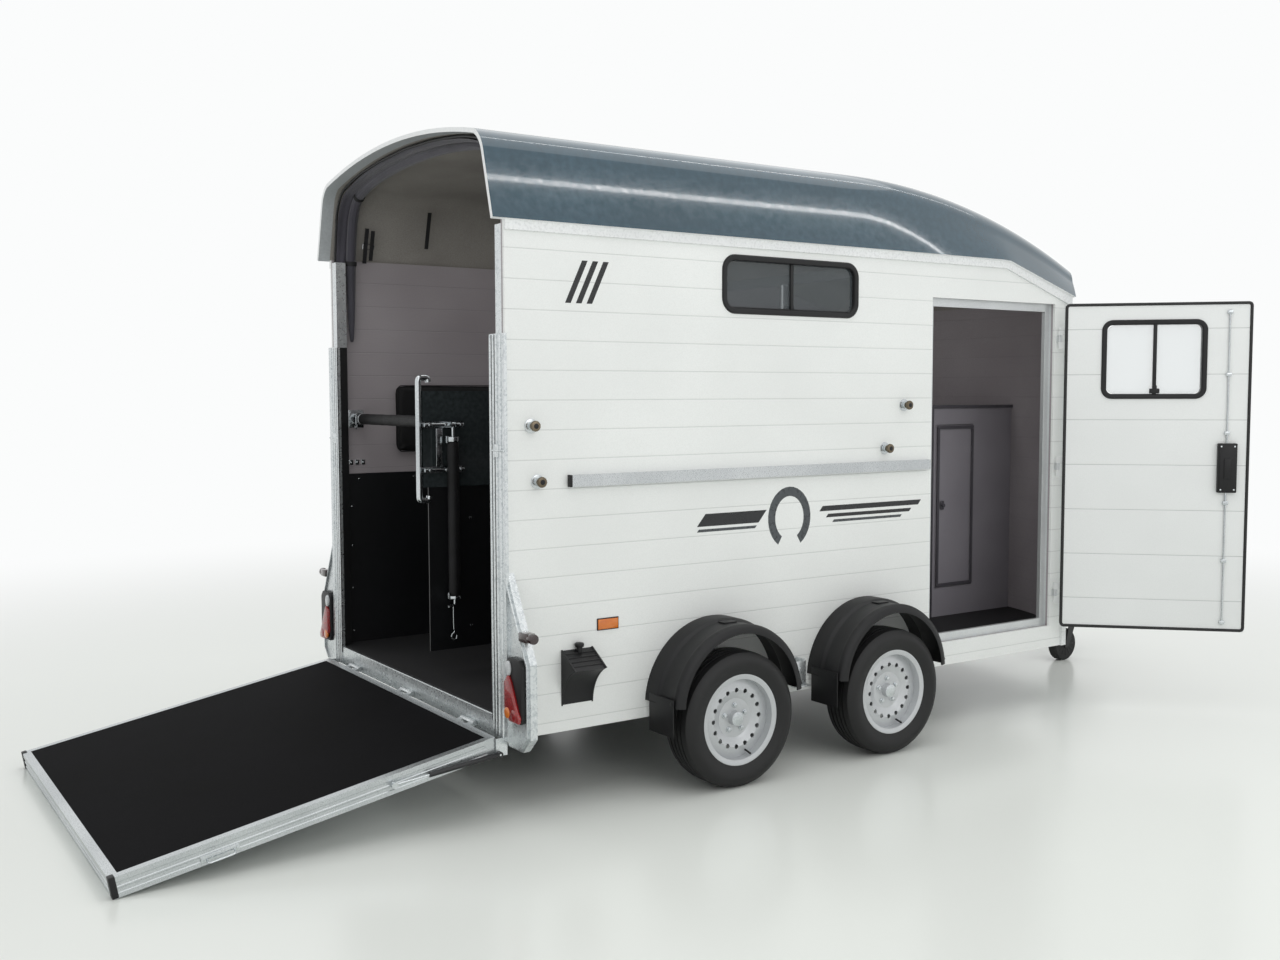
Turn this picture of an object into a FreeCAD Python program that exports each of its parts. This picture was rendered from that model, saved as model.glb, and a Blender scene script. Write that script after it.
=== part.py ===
import FreeCAD, Part
import math
import os
import Sketcher

# Two-horse trailer with a front tack compartment, millimetres, +X forward, +Y left, +Z up.
# Sizes are measured from the rear face of the body (x), its centre plane (y) and the ground (z).
# Each finished piece is then moved so that the origin lies on the ground under the middle of the whole.

os.makedirs("parts", exist_ok=True)
doc = FreeCAD.newDocument("horse_trailer")
sheet = doc.addObject("Spreadsheet::Sheet", "sizes")


# A size carries its value and the sheet formula that gives it, so both follow one line of arithmetic
class Size:
    def __init__(self, value, text):
        self.value = value
        self.text = text

    def __add__(self, other):
        other = as_size(other)
        return Size(self.value + other.value, "(%s + %s)" % (self.text, other.text))

    def __radd__(self, other):
        return as_size(other) + self

    def __sub__(self, other):
        other = as_size(other)
        return Size(self.value - other.value, "(%s - %s)" % (self.text, other.text))

    def __rsub__(self, other):
        return as_size(other) - self

    def __mul__(self, other):
        other = as_size(other)
        return Size(self.value * other.value, "(%s * %s)" % (self.text, other.text))

    def __rmul__(self, other):
        return as_size(other) * self

    def __truediv__(self, other):
        other = as_size(other)
        return Size(self.value / other.value, "(%s / %s)" % (self.text, other.text))

    def __neg__(self):
        return Size(-self.value, "(0 - %s)" % self.text)


def as_size(number):
    if isinstance(number, Size):
        return number
    return Size(float(number), "%.6g" % number if number >= 0 else "(0 - %.6g)" % -number)


def root(size):
    return Size(math.sqrt(size.value), "sqrt(%s)" % size.text)


# The driving sizes: name, value, what it is
SIZES = (
    ("origin_ahead", 1787, "origin's distance ahead of the body's rear face"),
    ("origin_right", 250, "origin's distance right of the body's centre plane"),
    ("body_width", 1850, "outside width of the side walls"),
    ("body_length", 3390, "length of the side walls"),
    ("bow_rise", 360, "how far the front wall bows out ahead of the side walls"),
    ("wall_thick", 25, "wall plank thickness"),
    ("wall_bottom", 310, "ground to the walls' lower edge"),
    ("wall_top", 2340, "ground to the walls' upper edge"),
    ("knee_at", 520, "where the upper edge starts to slope, behind the walls' front end"),
    ("front_top", 160, "fall of the walls' upper edge to the front corner"),
    ("floor_top", 400, "ground to the floor's top"),
    ("floor_thick", 30, "floor board with rubber mat"),
    ("rail_height", 60, "height of the chassis rails"),
    ("rail_width", 50, "width of the chassis rails"),
    ("rail_offset", 325, "wall face in to each long chassis rail"),
    ("cross_width", 60, "width of the chassis cross members"),
    ("cross_height", 40, "height of the chassis cross members"),
    ("axle_rear_at", 697, "rear wheel centre behind the middle of the body"),
    ("axle_pitch", 901, "distance between the axles"),
    ("tyre_radius", 291, "loaded radius of the tyre"),
    ("tyre_width", 185, "section width of the tyre"),
    ("wheel_track_half", 133, "wall face out to the wheel's centre plane"),
    ("rim_flange_radius", 195, "rim flange"),
    ("rim_seat_radius", 178, "bead seat"),
    ("rim_width", 152, "over the flanges"),
    ("rim_sheet", 5, "rim thickness"),
    ("hub_face", 30, "wheel centre plane out to the hub face"),
    ("drum_radius", 112, "brake drum"),
    ("stub_radius", 17, "stub axle"),
    ("running_gap", 0.3, "clearance of a turning fit, on the radius"),
    ("vent_count", 16, "holes round the wheel disc"),
    ("vent_radius", 10, "radius of such a hole"),
    ("vent_circle", 122, "radius of the ring of holes"),
    ("arm_length", 130, "torsion tube centre to stub axle"),
    ("torsion_drop", 29, "torsion tube centre below the stub axle"),
    ("torsion_half", 35, "half the width of the torsion tube"),
    ("arm_thick", 28, "thickness of the trailing arm"),
    ("guard_radius", 351, "outer radius of the mudguard arch"),
    ("guard_centre", 359, "ground to the centre of the mudguard arch"),
    ("guard_bottom", 385, "ground to the mudguard's ends"),
    ("guard_thick", 8, "mudguard thickness"),
    ("guard_outer", 225, "wall face out to the mudguard's outer lip"),
    ("guard_lip", 25, "depth of the outer lip"),
    ("flap_bottom", 260, "ground to the mud flap's lower edge"),
    ("door_rear", 1045, "groom doorway's rear edge behind the walls' front end"),
    ("door_front", 126, "groom doorway's front edge behind the walls' front end"),
    ("door_bottom", 25, "groom doorway's lower edge above the floor"),
    ("door_top", 206, "groom doorway's upper edge below the walls' upper edge"),
    ("door_gap", 5, "gap round the closed door"),
    ("door_thick", 30, "door leaf thickness"),
    ("door_open", 134.7, "angle of the open door, degrees"),
    ("door_proud", 7, "door leaf proud of the wall"),
    ("hinge_out", 18, "hinge pin outside the wall face"),
    ("hinge_ahead", 19, "hinge pin ahead of the doorway"),
    ("hinge_radius", 8, "hinge knuckle radius"),
    ("hinge_knuckle", 36, "length of one hinge knuckle"),
    ("frame_width", 40, "door frame, width of the stop"),
    ("frame_thick", 30, "door frame, depth"),
    ("frame_lap", 25, "door frame, lap on the wall"),
    ("door_glass_from", 205, "door window's outer edge, from the hinge"),
    ("door_glass_to", 722, "door window's other edge, from the hinge"),
    ("door_glass_bottom", 498, "door window's lower edge below the doorway's upper edge"),
    ("door_glass_top", 89, "door window's upper edge below the doorway's upper edge"),
    ("glass_corner", 70, "corner radius of the windows' frames"),
    ("glass_border", 26, "width of the windows' frames"),
    ("glass_thick", 4, "window glass thickness"),
    ("window_rear", 1292, "side window's rear edge behind the doorway"),
    ("window_front", 494, "side window's front edge behind the doorway"),
    ("window_bottom", 326, "side window's lower edge below the walls' upper edge"),
    ("window_top", 70, "side window's upper edge below the walls' upper edge"),
    ("window_proud", 8, "window frame proud of the panel"),
    ("roof_rim", 60, "roof overhang behind the body"),
    ("roof_over", 25, "roof overhang outside the walls"),
    ("roof_side_half", 47, "wall face in to where the roof's side ends"),
    ("roof_side_rise", 260, "height of the roof's side"),
    ("roof_shoulder_half", 125, "wall face in to the roof's shoulder"),
    ("roof_shoulder", 95, "rise of the roof's shoulder above its side"),
    ("roof_shoulder_radius", 140, "radius of the roof's shoulder"),
    ("roof_crown", 85, "rise of the roof's crown above its shoulder"),
    ("roof_thick", 20, "roof shell with its lining"),
    ("nose_start", 1490, "where the roof starts to curve down, behind the walls' front end"),
    ("nose_radius", 3800, "radius of the roof's curve in side view"),
    ("top_rail_height", 40, "rail under the roof's edge"),
    ("top_rail_proud", 12, "that rail proud of the wall"),
    ("corner_rail_width", 35, "upright rail at the front corner"),
    ("rub_rail_bottom", 1300, "ground to the rub rail"),
    ("rub_rail_height", 46, "rub rail height"),
    ("rub_rail_proud", 25, "rub rail proud of the wall"),
    ("rub_rail_rear", 279, "rub rail, rear end"),
    ("rub_rail_front", 25, "rub rail's front end behind the doorway"),
    ("post_depth", 50, "rear post along the body"),
    ("post_width", 50, "rear post across the body"),
    ("post_top", 15, "rear post's top below the walls' upper edge"),
    ("closing_depth", 12, "closing profile behind the body"),
    ("closing_inner", 110, "wall face in to the closing profile's inner edge"),
    ("closing_outer", 15, "wall face out to the closing profile's outer edge"),
    ("closing_top", 1904, "ground to the closing profile's top"),
    ("gusset_out", 180, "gusset's reach outside the wall"),
    ("gusset_flare", 973, "ground to where the gusset leaves the post"),
    ("gusset_corner", 640, "ground to the gusset's upper corner"),
    ("gusset_bottom", 290, "ground to the gusset's lower edge"),
    ("gusset_cut", 60, "chamfer at the gusset's lower corner"),
    ("gusset_depth", 30, "depth of the gusset's folded edges"),
    ("sheet_metal", 4, "thickness of folded galvanised sheet"),
    ("lamp_bottom", 405, "ground to the tail lamp"),
    ("lamp_height", 250, "height of the tail lamp"),
    ("lamp_width", 130, "width of the tail lamp"),
    ("lamp_depth", 40, "depth of the tail lamp behind the gusset"),
    ("lamp_inset", 22, "tail lamp inside the gusset's outer edge"),
    ("ramp_hinge_back", 24, "ramp hinge pin behind the rear face"),
    ("ramp_hinge_up", 330, "ground to the ramp hinge pin"),
    ("ramp_length", 1480, "hinge pin to the ramp's far edge"),
    ("ramp_half", 20, "wall face in to the ramp's side"),
    ("ramp_thick", 74, "ramp panel thickness"),
    ("ramp_heel", 26, "gap between the hinge pin and the ramp panel"),
    ("ramp_above", 4, "ramp panel's top above the hinge pin"),
    ("ramp_mat_thick", 6, "rubber on the ramp"),
    ("ramp_rim", 30, "bare metal edge round the rubber"),
    ("ramp_hinge_radius", 10, "ramp hinge knuckle radius"),
    ("ramp_hinge_offset", 285, "ramp's side in to the outer ramp hinges"),
    ("ramp_knuckle", 60, "length of one ramp hinge knuckle"),
    ("strut_out", 20, "ramp's side out to its gas struts"),
    ("strut_eye", 470, "hinge pin to the strut's eye, along the ramp"),
    ("strut_eye_drop", 30, "strut's eye below the ramp hinge line"),
    ("strut_foot_back", 40, "strut's foot behind the rear face"),
    ("strut_foot_up", 262, "ground to the strut's foot"),
    ("strut_body_radius", 10, "gas strut cylinder"),
    ("strut_rod_radius", 4, "gas strut rod"),
    ("strut_body_length", 300, "gas strut cylinder's length"),
    ("partition_rear", 66, "partition panel's rear edge"),
    ("partition_free", 40, "partition panel's front edge behind the post's centre"),
    ("partition_bottom", 1250, "ground to the partition panel"),
    ("partition_top", 1684, "ground to the partition panel's top"),
    ("partition_thick", 24, "partition panel thickness"),
    ("partition_tube_radius", 14, "tube round the partition's rear edge"),
    ("curtain_bottom", 500, "ground to the rubber curtain"),
    ("curtain_thick", 8, "rubber curtain thickness"),
    ("curtain_gap", 2, "rubber curtain below the panel"),
    ("post_at", 155, "partition post's centre behind the doorway"),
    ("post_radius", 25, "partition post"),
    ("post_head", 90, "partition post's top below the walls' upper edge"),
    ("bar_radius", 27, "padded bar"),
    ("bar_level", 1545, "ground to the rear bars"),
    ("left_bar_at", 111, "left rear bar"),
    ("left_bar_end", 50, "left rear bar's free end from the centre plane"),
    ("right_bar_at", 190, "right rear bar"),
    ("right_bar_out", 62, "hanging right rear bar from the centre plane"),
    ("right_bar_pivot", 152, "hanging bar's pivot below the partition's top"),
    ("right_bar_length", 11, "raised right bar's end clear of its socket"),
    ("right_bar_neck", 66, "hanging bar, pivot to its padding"),
    ("bar_neck", 35, "left rear bar, pivot to its padding"),
    ("bar_eye_radius", 12, "eyes that the rear bars turn on"),
    ("bar_lug_half", 9, "half the gap between the hanging bar's lugs"),
    ("bar_pin_radius", 5, "pin between these lugs"),
    ("breast_bar_level", 1408, "ground to the front bars"),
    ("socket_radius", 30, "bar socket on the wall"),
    ("socket_depth", 34, "bar socket's depth"),
    ("knob_radius", 17, "bar release knob"),
    ("knob_out", 45, "bar release knob's reach"),
    ("kick_top", 1266, "ground to the black wall lining's top"),
    ("kick_thick", 8, "black wall lining"),
    ("kick_front", 285, "black wall lining's front edge behind the doorway"),
    ("pad_rear", 325, "side pad's rear edge"),
    ("pad_front", 445, "side pad's front edge behind the doorway"),
    ("pad_bottom", 1370, "ground to the side pad"),
    ("pad_top", 1717, "ground to the side pad's top"),
    ("pad_thick", 40, "side pad thickness"),
    ("locker_rear", 363, "tack locker's rear wall behind the walls' front end"),
    ("locker_side", 290, "centre plane to the tack locker's side wall on the right"),
    ("locker_hinge_radius", 5, "tack locker's hinge knuckles"),
    ("locker_hinge_inset", 120, "tack locker's hinges from the ends of its door"),
    ("locker_top", 1595, "ground to the tack locker's top"),
    ("locker_wall", 15, "tack locker's wall"),
    ("locker_door_rear", 330, "locker door's rear edge behind the walls' front end"),
    ("locker_door_front", 24, "locker door's front edge behind the walls' front end"),
    ("locker_door_bottom", 565, "ground to the locker door"),
    ("locker_door_top", 1490, "ground to the locker door's top"),
    ("chock_at", 7.5, "wheel chock behind the middle of the wall behind the mudguard"),
    ("chock_length", 152, "wheel chock's length"),
    ("chock_bottom", 418, "ground to the wheel chock"),
    ("chock_height", 222, "wheel chock's height at the wall"),
    ("chock_width", 108, "wheel chock's reach from the wall"),
    ("chock_slope", 68, "fall of the wheel chock's top, wall to outer edge"),
    ("chock_hollow", 170, "radius of the wheel chock's hollow face"),
    ("canopy_back", 58, "rolled canvas ahead of the rear face"),
    ("canopy_deep", 55, "rolled canvas along the body"),
    ("canopy_wide", 60, "rolled canvas across its arch"),
    ("canopy_foot", 1930, "ground to the lower end of the rolled canvas"),
    ("canopy_gap", 1, "rolled canvas clear of what it lies against"),
    ("beam_rear", 1090, "rear end of the drawbar beams behind the walls' front end"),
    ("beam_front", 1300, "front end of the drawbar beams ahead of the walls"),
    ("beam_spread", 40, "drawbar beams inside the chassis rails at the rear end"),
    ("beam_meet", 42, "drawbar beams from the centre plane at the front end"),
    ("beam_width", 50, "drawbar beam width"),
    ("beam_height", 70, "drawbar beam height"),
    ("ball_at", 1625, "coupling ball's centre ahead of the walls"),
    ("ball_up", 425, "ground to the coupling ball centre"),
    ("ball_radius", 25.3, "radius inside the coupling head"),
    ("head_radius", 36, "coupling head outside"),
    ("draw_tube_radius", 24, "overrun drawtube"),
    ("housing_rear", 1030, "overrun housing's rear end ahead of the walls"),
    ("housing_front", 1340, "overrun housing's front end ahead of the walls"),
    ("housing_radius", 36, "overrun housing"),
    ("bellows_radius", 44, "rubber bellows"),
    ("bellows_front", 1510, "front end of the bellows ahead of the walls"),
    ("handle_back", 8, "coupling handle's rear end ahead of the bellows"),
    ("lever_at", 1130, "handbrake lever's pivot ahead of the walls"),
    ("lever_length", 330, "handbrake lever"),
    ("jack_at", 940, "jockey wheel tube ahead of the walls"),
    ("jack_out", 105, "jockey wheel tube outside the drawbar beam's centre line"),
    ("jack_stem_top", 640, "ground to the top of the jockey wheel's inner tube"),
    ("crank_length", 120, "jockey wheel's winding handle"),
    ("crank_grip", 70, "grip of the winding handle"),
    ("clamp_bottom", 390, "ground to the jockey wheel's clamp"),
    ("clamp_height", 80, "height of the jockey wheel's clamp"),
    ("clamp_radius", 40, "outside of the jockey wheel's clamp"),
    ("clamp_reach", 112, "jockey wheel tube to the far side of the clamp's foot"),
    ("plate_half", 93, "half the width of the drawbar's mounting plate"),
    ("plate_thick", 8, "the drawbar's mounting plate"),
    ("jack_tube_radius", 30, "jockey wheel outer tube"),
    ("jack_stem_radius", 24, "jockey wheel inner tube"),
    ("jack_tube_bottom", 290, "ground to the outer tube's lower end"),
    ("jack_tube_top", 760, "ground to the outer tube's top"),
    ("jack_wheel_radius", 100, "jockey wheel"),
    ("jack_wheel_width", 60, "jockey wheel width"),
    ("jack_trail", 45, "jockey wheel axle behind the stem"),
    ("jack_fork_top", 214, "ground to the fork's top"),
    ("jack_pin_radius", 8, "jockey wheel axle"),
    ("tyre_bead", 64, "tyre bead, half the width inside the flanges"),
    ("tyre_bead_height", 18, "tyre bead height"),
    ("tyre_shoulder", 55, "widest part of the tyre below its tread"),
    ("tyre_side_radius", 50, "radius of the tyre's lower side"),
    ("tyre_shoulder_radius", 62, "radius of the tyre's shoulder"),
    ("tyre_crown_radius", 700, "radius across the tread"),
    ("tyre_tread_half", 68, "half the tread width"),
    ("ground_gap", 0.5, "ramp's far edge above the ground"),
    ("nose_steps", 7, "stretches of the roof's curved part"),
    ("sill_step", 6, "rear sill below the floor's top"),
    ("strut_pin_radius", 4, "pin on the body for the strut's foot"),
    ("strut_eye_radius", 12, "the strut's eyes"),
    ("strut_eye_half", 9, "half the width of the strut's eyes"),
    ("strut_bore", 200, "depth of the strut's bore"),
    ("strut_inside", 150, "length of rod inside the cylinder at rest"),
    ("hinge_inset", 180, "upper and lower door hinges from the leaf's ends"),
    ("hinge_leaf", 22, "hinge plate on the frame"),
    ("latch_inset", 62, "door latch from the leaf's free edge"),
    ("latch_wide", 80, "door latch width"),
    ("latch_deep", 34, "door latch depth"),
    ("latch_bottom", 1160, "ground to the door latch"),
    ("latch_high", 245, "door latch height"),
    ("tube_reach", 24, "partition tube beyond the panel"),
    ("bracket_low", 79, "partition's lower bracket above the panel's lower edge"),
    ("bracket_long", 190, "partition bracket length"),
    ("head_skirt", 14, "coupling socket wall below the ball's centre"),
    ("lever_side", 52, "handbrake lever left of the centre plane"),
    ("lever_radius", 9, "handbrake lever"),
    ("collar_height", 34, "collars of the partition round its post"),
    ("collar_wall", 8, "wall of these collars"),
    ("post_clear", 10, "front bars' inner ends clear of the post"),
    ("arm_gap", 10, "trailing arm outside the wall"),
    ("stub_short", 20, "stub axle ends inside the hub face"),
    ("rim_well", 16, "depth of the rim's well"),
    ("disc_crown", 12, "wheel disc's crown outside the hub face"),
    ("disc_crown_radius", 122, "radius of that crown"),
    ("hub_radius", 84, "flat hub face"),
    ("cap_radius", 31, "grease cap"),
    ("cap_height", 26, "grease cap's height"),
    ("drum_back", 34, "drum's open side, inboard of the wheel centre plane"),
    ("bore_over", 1, "how far a bore runs on past the piece it opens"),
)


class Named:
    pass


s = Named()
for row, (alias, value, note) in enumerate(SIZES, start=1):
    sheet.set("A%d" % row, alias)
    sheet.set("B%d" % row, "%g" % value)
    sheet.setAlias("B%d" % row, alias)
    sheet.set("C%d" % row, note)
    setattr(s, alias, Size(float(value), "sizes." + alias))
doc.recompute()

ZERO = as_size(0)
half = s.body_width / 2
inner = half - s.wall_thick


# Sizes that are counted from another piece become places here, ahead of it, above it or outside it
# with plus, behind, below or inside it with minus
def follow(names, datum, side):
    for alias in names.split():
        distance = getattr(s, alias)
        setattr(s, alias, datum + distance if side > 0 else datum - distance)


follow("knee_at nose_start door_rear door_front locker_rear locker_door_rear locker_door_front beam_rear",
       s.body_length, -1)
follow("beam_front housing_rear housing_front bellows_front lever_at jack_at ball_at", s.body_length, 1)
follow("axle_rear_at", s.body_length / 2, -1)
follow("chock_at", (s.axle_rear_at - s.guard_radius - s.chock_length) / 2, -1)
follow("post_at window_rear window_front rub_rail_front kick_front pad_front", s.door_rear, -1)
follow("guard_outer wheel_track_half closing_outer", half, 1)
follow("closing_inner ramp_half roof_side_half roof_shoulder_half rail_offset", half, -1)
follow("strut_out", s.ramp_half, 1)
follow("ramp_hinge_offset", s.ramp_half, -1)
follow("beam_spread", s.rail_offset, -1)
follow("jack_out", s.beam_meet + (s.beam_spread - s.beam_meet) * (s.beam_front - s.jack_at)
       / (s.beam_front - s.beam_rear), 1)
follow("front_top door_top window_bottom window_top post_top post_head", s.wall_top, -1)
follow("door_glass_bottom door_glass_top", s.door_top, -1)
follow("door_bottom", s.floor_top, 1)
follow("roof_shoulder", s.wall_top + s.roof_side_rise, 1)
follow("roof_crown", s.roof_shoulder, 1)
follow("bracket_low", s.partition_bottom, 1)
follow("right_bar_pivot", s.partition_top, -1)
follow("right_bar_length", inner - s.right_bar_out - s.socket_depth, -1)
bow_radius =(half * half + s.bow_rise * s.bow_rise) / (s.bow_rise * 2)
bow_centre = s.body_length + s.bow_rise - bow_radius
floor_under = s.floor_top - s.floor_thick
rail_bottom = floor_under - s.rail_height
beam_top = rail_bottom
axle_front_at = s.axle_rear_at + s.axle_pitch
partition_front = s.post_at - s.partition_free

nodes = []


# Bind a property to its sheet formula
def bind(thing, name, size):
    thing.setExpression(name, as_size(size).text)


# Move a piece that goes into another one
def place(thing, x=ZERO, y=ZERO, z=ZERO):
    bind(thing, "Placement.Base.x", x)
    bind(thing, "Placement.Base.y", y)
    bind(thing, "Placement.Base.z", z)
    return thing


# A finished piece: its name, and its place counted from the part's origin
def node(thing, label, x=ZERO, y=ZERO, z=ZERO):
    thing.Label = label
    place(thing, as_size(x) - s.origin_ahead, as_size(y) + s.origin_right, z)
    nodes.append(thing)
    return thing


# A finished piece whose shape is worked out in code: the shape first, then its place
def shape_node(shape, label):
    thing = doc.addObject("Part::Feature", label)
    thing.Shape = shape
    return node(thing, label)


def box(name, x, y, z):
    thing = doc.addObject("Part::Box", name)
    bind(thing, "Length", as_size(x[1]) - x[0])
    bind(thing, "Width", as_size(y[1]) - y[0])
    bind(thing, "Height", as_size(z[1]) - z[0])
    return place(thing, as_size(x[0]), as_size(y[0]), as_size(z[0]))


# A round bar between two points
def bar(name, start, end, radius):
    start = [as_size(value) for value in start]
    end = [as_size(value) for value in end]
    run = [b - a for a, b in zip(start, end)]
    length = root(run[0] * run[0] + run[1] * run[1] + run[2] * run[2])
    thing = doc.addObject("Part::Cylinder", name)
    direction = FreeCAD.Vector(*[value.value for value in run])
    thing.Placement.Rotation = FreeCAD.Rotation(FreeCAD.Vector(0, 0, 1), direction)
    bind(thing, "Radius", radius)
    bind(thing, "Height", length)
    return place(thing, *start)


def fuse(name, pieces):
    thing = doc.addObject("Part::MultiFuse", name)
    thing.Shapes = pieces
    return thing


def cut(name, base, tool):
    thing = doc.addObject("Part::Cut", name)
    thing.Base = base
    thing.Tool = tool
    return thing


def group(name, pieces):
    thing = doc.addObject("Part::Compound", name)
    thing.Links = pieces
    return thing


# The same piece on the other side of the centre plane
def mirrored(name, source):
    thing = doc.addObject("Part::Mirroring", name)
    thing.Source = source
    thing.Normal = FreeCAD.Vector(0, 1, 0)
    return thing


def pair(name, source):
    return group(name, [source, mirrored(name + "_left", source)])


# A closed outline of (x, y) points; a third value is the radius of the arc that goes on to the next
# point, plus where it bulges to the right of the way round
def outline(sketch, points):
    points = [[as_size(value) for value in point] for point in points]
    first = sketch.GeometryCount
    geometry = []
    ends = []
    for index, point in enumerate(points):
        after = points[(index + 1) % len(points)]
        a = FreeCAD.Vector(point[0].value, point[1].value, 0)
        b = FreeCAD.Vector(after[0].value, after[1].value, 0)
        if len(point) == 2:
            geometry.append(Part.LineSegment(a, b))
            ends.append((1, 2))
            continue
        radius = abs(point[2].value)
        chord = b - a
        away = math.sqrt(max(0.0, radius ** 2 - chord.Length ** 2 / 4))
        side = 1 if point[2].value > 0 else -1
        normal = FreeCAD.Vector(chord.y, -chord.x, 0).normalize() * side
        middle = (a + b) * 0.5 + normal * (radius - away)
        geometry.append(Part.ArcOfCircle(a, middle, b) if side > 0 else Part.ArcOfCircle(b, middle, a))
        ends.append((1, 2) if side > 0 else (2, 1))
    sketch.addGeometry(geometry, False)
    constraints = []
    formulas = []
    for index, point in enumerate(points):
        here = first + index
        after = first + (index + 1) % len(points)
        start = ends[index][0]
        constraints.append(Sketcher.Constraint("Coincident", here, ends[index][1], after,
                                               ends[(index + 1) % len(points)][0]))
        constraints.append(Sketcher.Constraint("DistanceX", -1, 1, here, start, point[0].value))
        formulas.append((len(constraints) - 1, point[0].text))
        constraints.append(Sketcher.Constraint("DistanceY", -1, 1, here, start, point[1].value))
        formulas.append((len(constraints) - 1, point[1].text))
        if len(point) == 3:
            constraints.append(Sketcher.Constraint("Radius", here, abs(point[2].value)))
            formula = point[2].text if point[2].value > 0 else (-point[2]).text
            formulas.append((len(constraints) - 1, formula))
    offset = sketch.ConstraintCount
    sketch.addConstraint(constraints)
    for index, formula in formulas:
        sketch.setExpression("Constraints[%d]" % (offset + index), formula)


def rectangle(x, y):
    return [(x[0], y[0]), (x[1], y[0]), (x[1], y[1]), (x[0], y[1])]


def rounded(x, y, radius):
    x0, x1 = as_size(x[0]), as_size(x[1])
    y0, y1 = as_size(y[0]), as_size(y[1])
    return [(x0 + radius, y0), (x1 - radius, y0, radius), (x1, y0 + radius), (x1, y1 - radius, radius),
            (x1 - radius, y1), (x0 + radius, y1, radius), (x0, y1 - radius), (x0, y0 + radius, radius)]


def body_sketch(body, plane, name, loops):
    sketch = body.newObject("Sketcher::SketchObject", name)
    support = [item for item in body.Origin.OriginFeatures if item.Role == plane][0]
    sketch.AttachmentSupport = [(support, "")]
    sketch.MapMode = "FlatFace"
    for loop in loops:
        outline(sketch, loop)
    return sketch


# A panel: an outline on one of the origin planes, padded towards +Z, +Y or +X
def panel(name, plane, loops, thick):
    body = doc.addObject("PartDesign::Body", name)
    sketch = body_sketch(body, plane, name + "_outline", loops)
    pad = body.newObject("PartDesign::Pad", name + "_pad")
    pad.Profile = sketch
    pad.Reversed = plane == "XZ_Plane"
    bind(pad, "Length", thick)
    sketch.Visibility = False
    body.Tip = pad
    return body


# A turned piece: (radius, along) points on the XY plane, turned round the Y axis
def turned(name, loop):
    body = doc.addObject("PartDesign::Body", name)
    sketch = body_sketch(body, "XY_Plane", name + "_section", [loop])
    turn = body.newObject("PartDesign::Revolution", name + "_turn")
    turn.Profile = sketch
    turn.ReferenceAxis = (sketch, ["V_Axis"])
    turn.Angle = 360
    body.Tip = turn
    return body


# Chassis: long rails and cross members of galvanised steel under the floor
def chassis():
    pieces = []
    for side, word in ((-1, "right"), (1, "left")):
        middle = s.rail_offset * side
        pieces.append(box("chassis_rail_" + word, (s.cross_width / 2, s.body_length - s.cross_width),
                          (middle - s.rail_width / 2, middle + s.rail_width / 2), (rail_bottom, floor_under)))
    places = (ZERO, s.axle_rear_at - s.axle_pitch / 2, s.axle_rear_at + s.axle_pitch / 2,
              axle_front_at + s.axle_pitch / 2, s.body_length - s.cross_width * 2)
    for index, start in enumerate(places):
        pieces.append(box("chassis_cross_%d" % index, (start, start + s.cross_width), (-inner, inner),
                          (floor_under - s.cross_height, floor_under)))
    node(fuse("chassis_fuse", pieces), "chassis_frame")


# Torsion axles: a square tube, a pad under each rail, trailing arms and stub axles
def axle(name, at):
    stub_z = s.tyre_radius
    tube_x = at + s.arm_length
    tube_z = stub_z - s.torsion_drop
    reach = half + s.arm_gap
    wide = s.torsion_half
    pieces = [box(name + "_tube", (tube_x - wide, tube_x + wide), (-reach, reach),
                  (tube_z - wide, tube_z + wide))]
    for side, word in ((-1, "right"), (1, "left")):
        middle = s.rail_offset * side
        pieces.append(box(name + "_pad_" + word, (tube_x - wide, tube_x + wide),
                          (middle - s.rail_width / 2, middle + s.rail_width / 2), (tube_z, rail_bottom)))
        arm = panel(name + "_arm_" + word, "XZ_Plane",
                    [[(at - wide, stub_z - wide), (tube_x + wide, tube_z - wide),
                      (tube_x + wide, tube_z + wide), (at - wide, stub_z + wide)]], s.arm_thick)
        inside = reach * side
        low = inside - s.arm_thick if side < 0 else inside
        pieces.append(place(arm, ZERO, low, ZERO))
        end = (s.wheel_track_half + s.hub_face - s.stub_short) * side
        pieces.append(bar(name + "_stub_" + word, (at, inside, stub_z), (at, end, stub_z), s.stub_radius))
    node(fuse(name + "_fuse", pieces), name)


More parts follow.
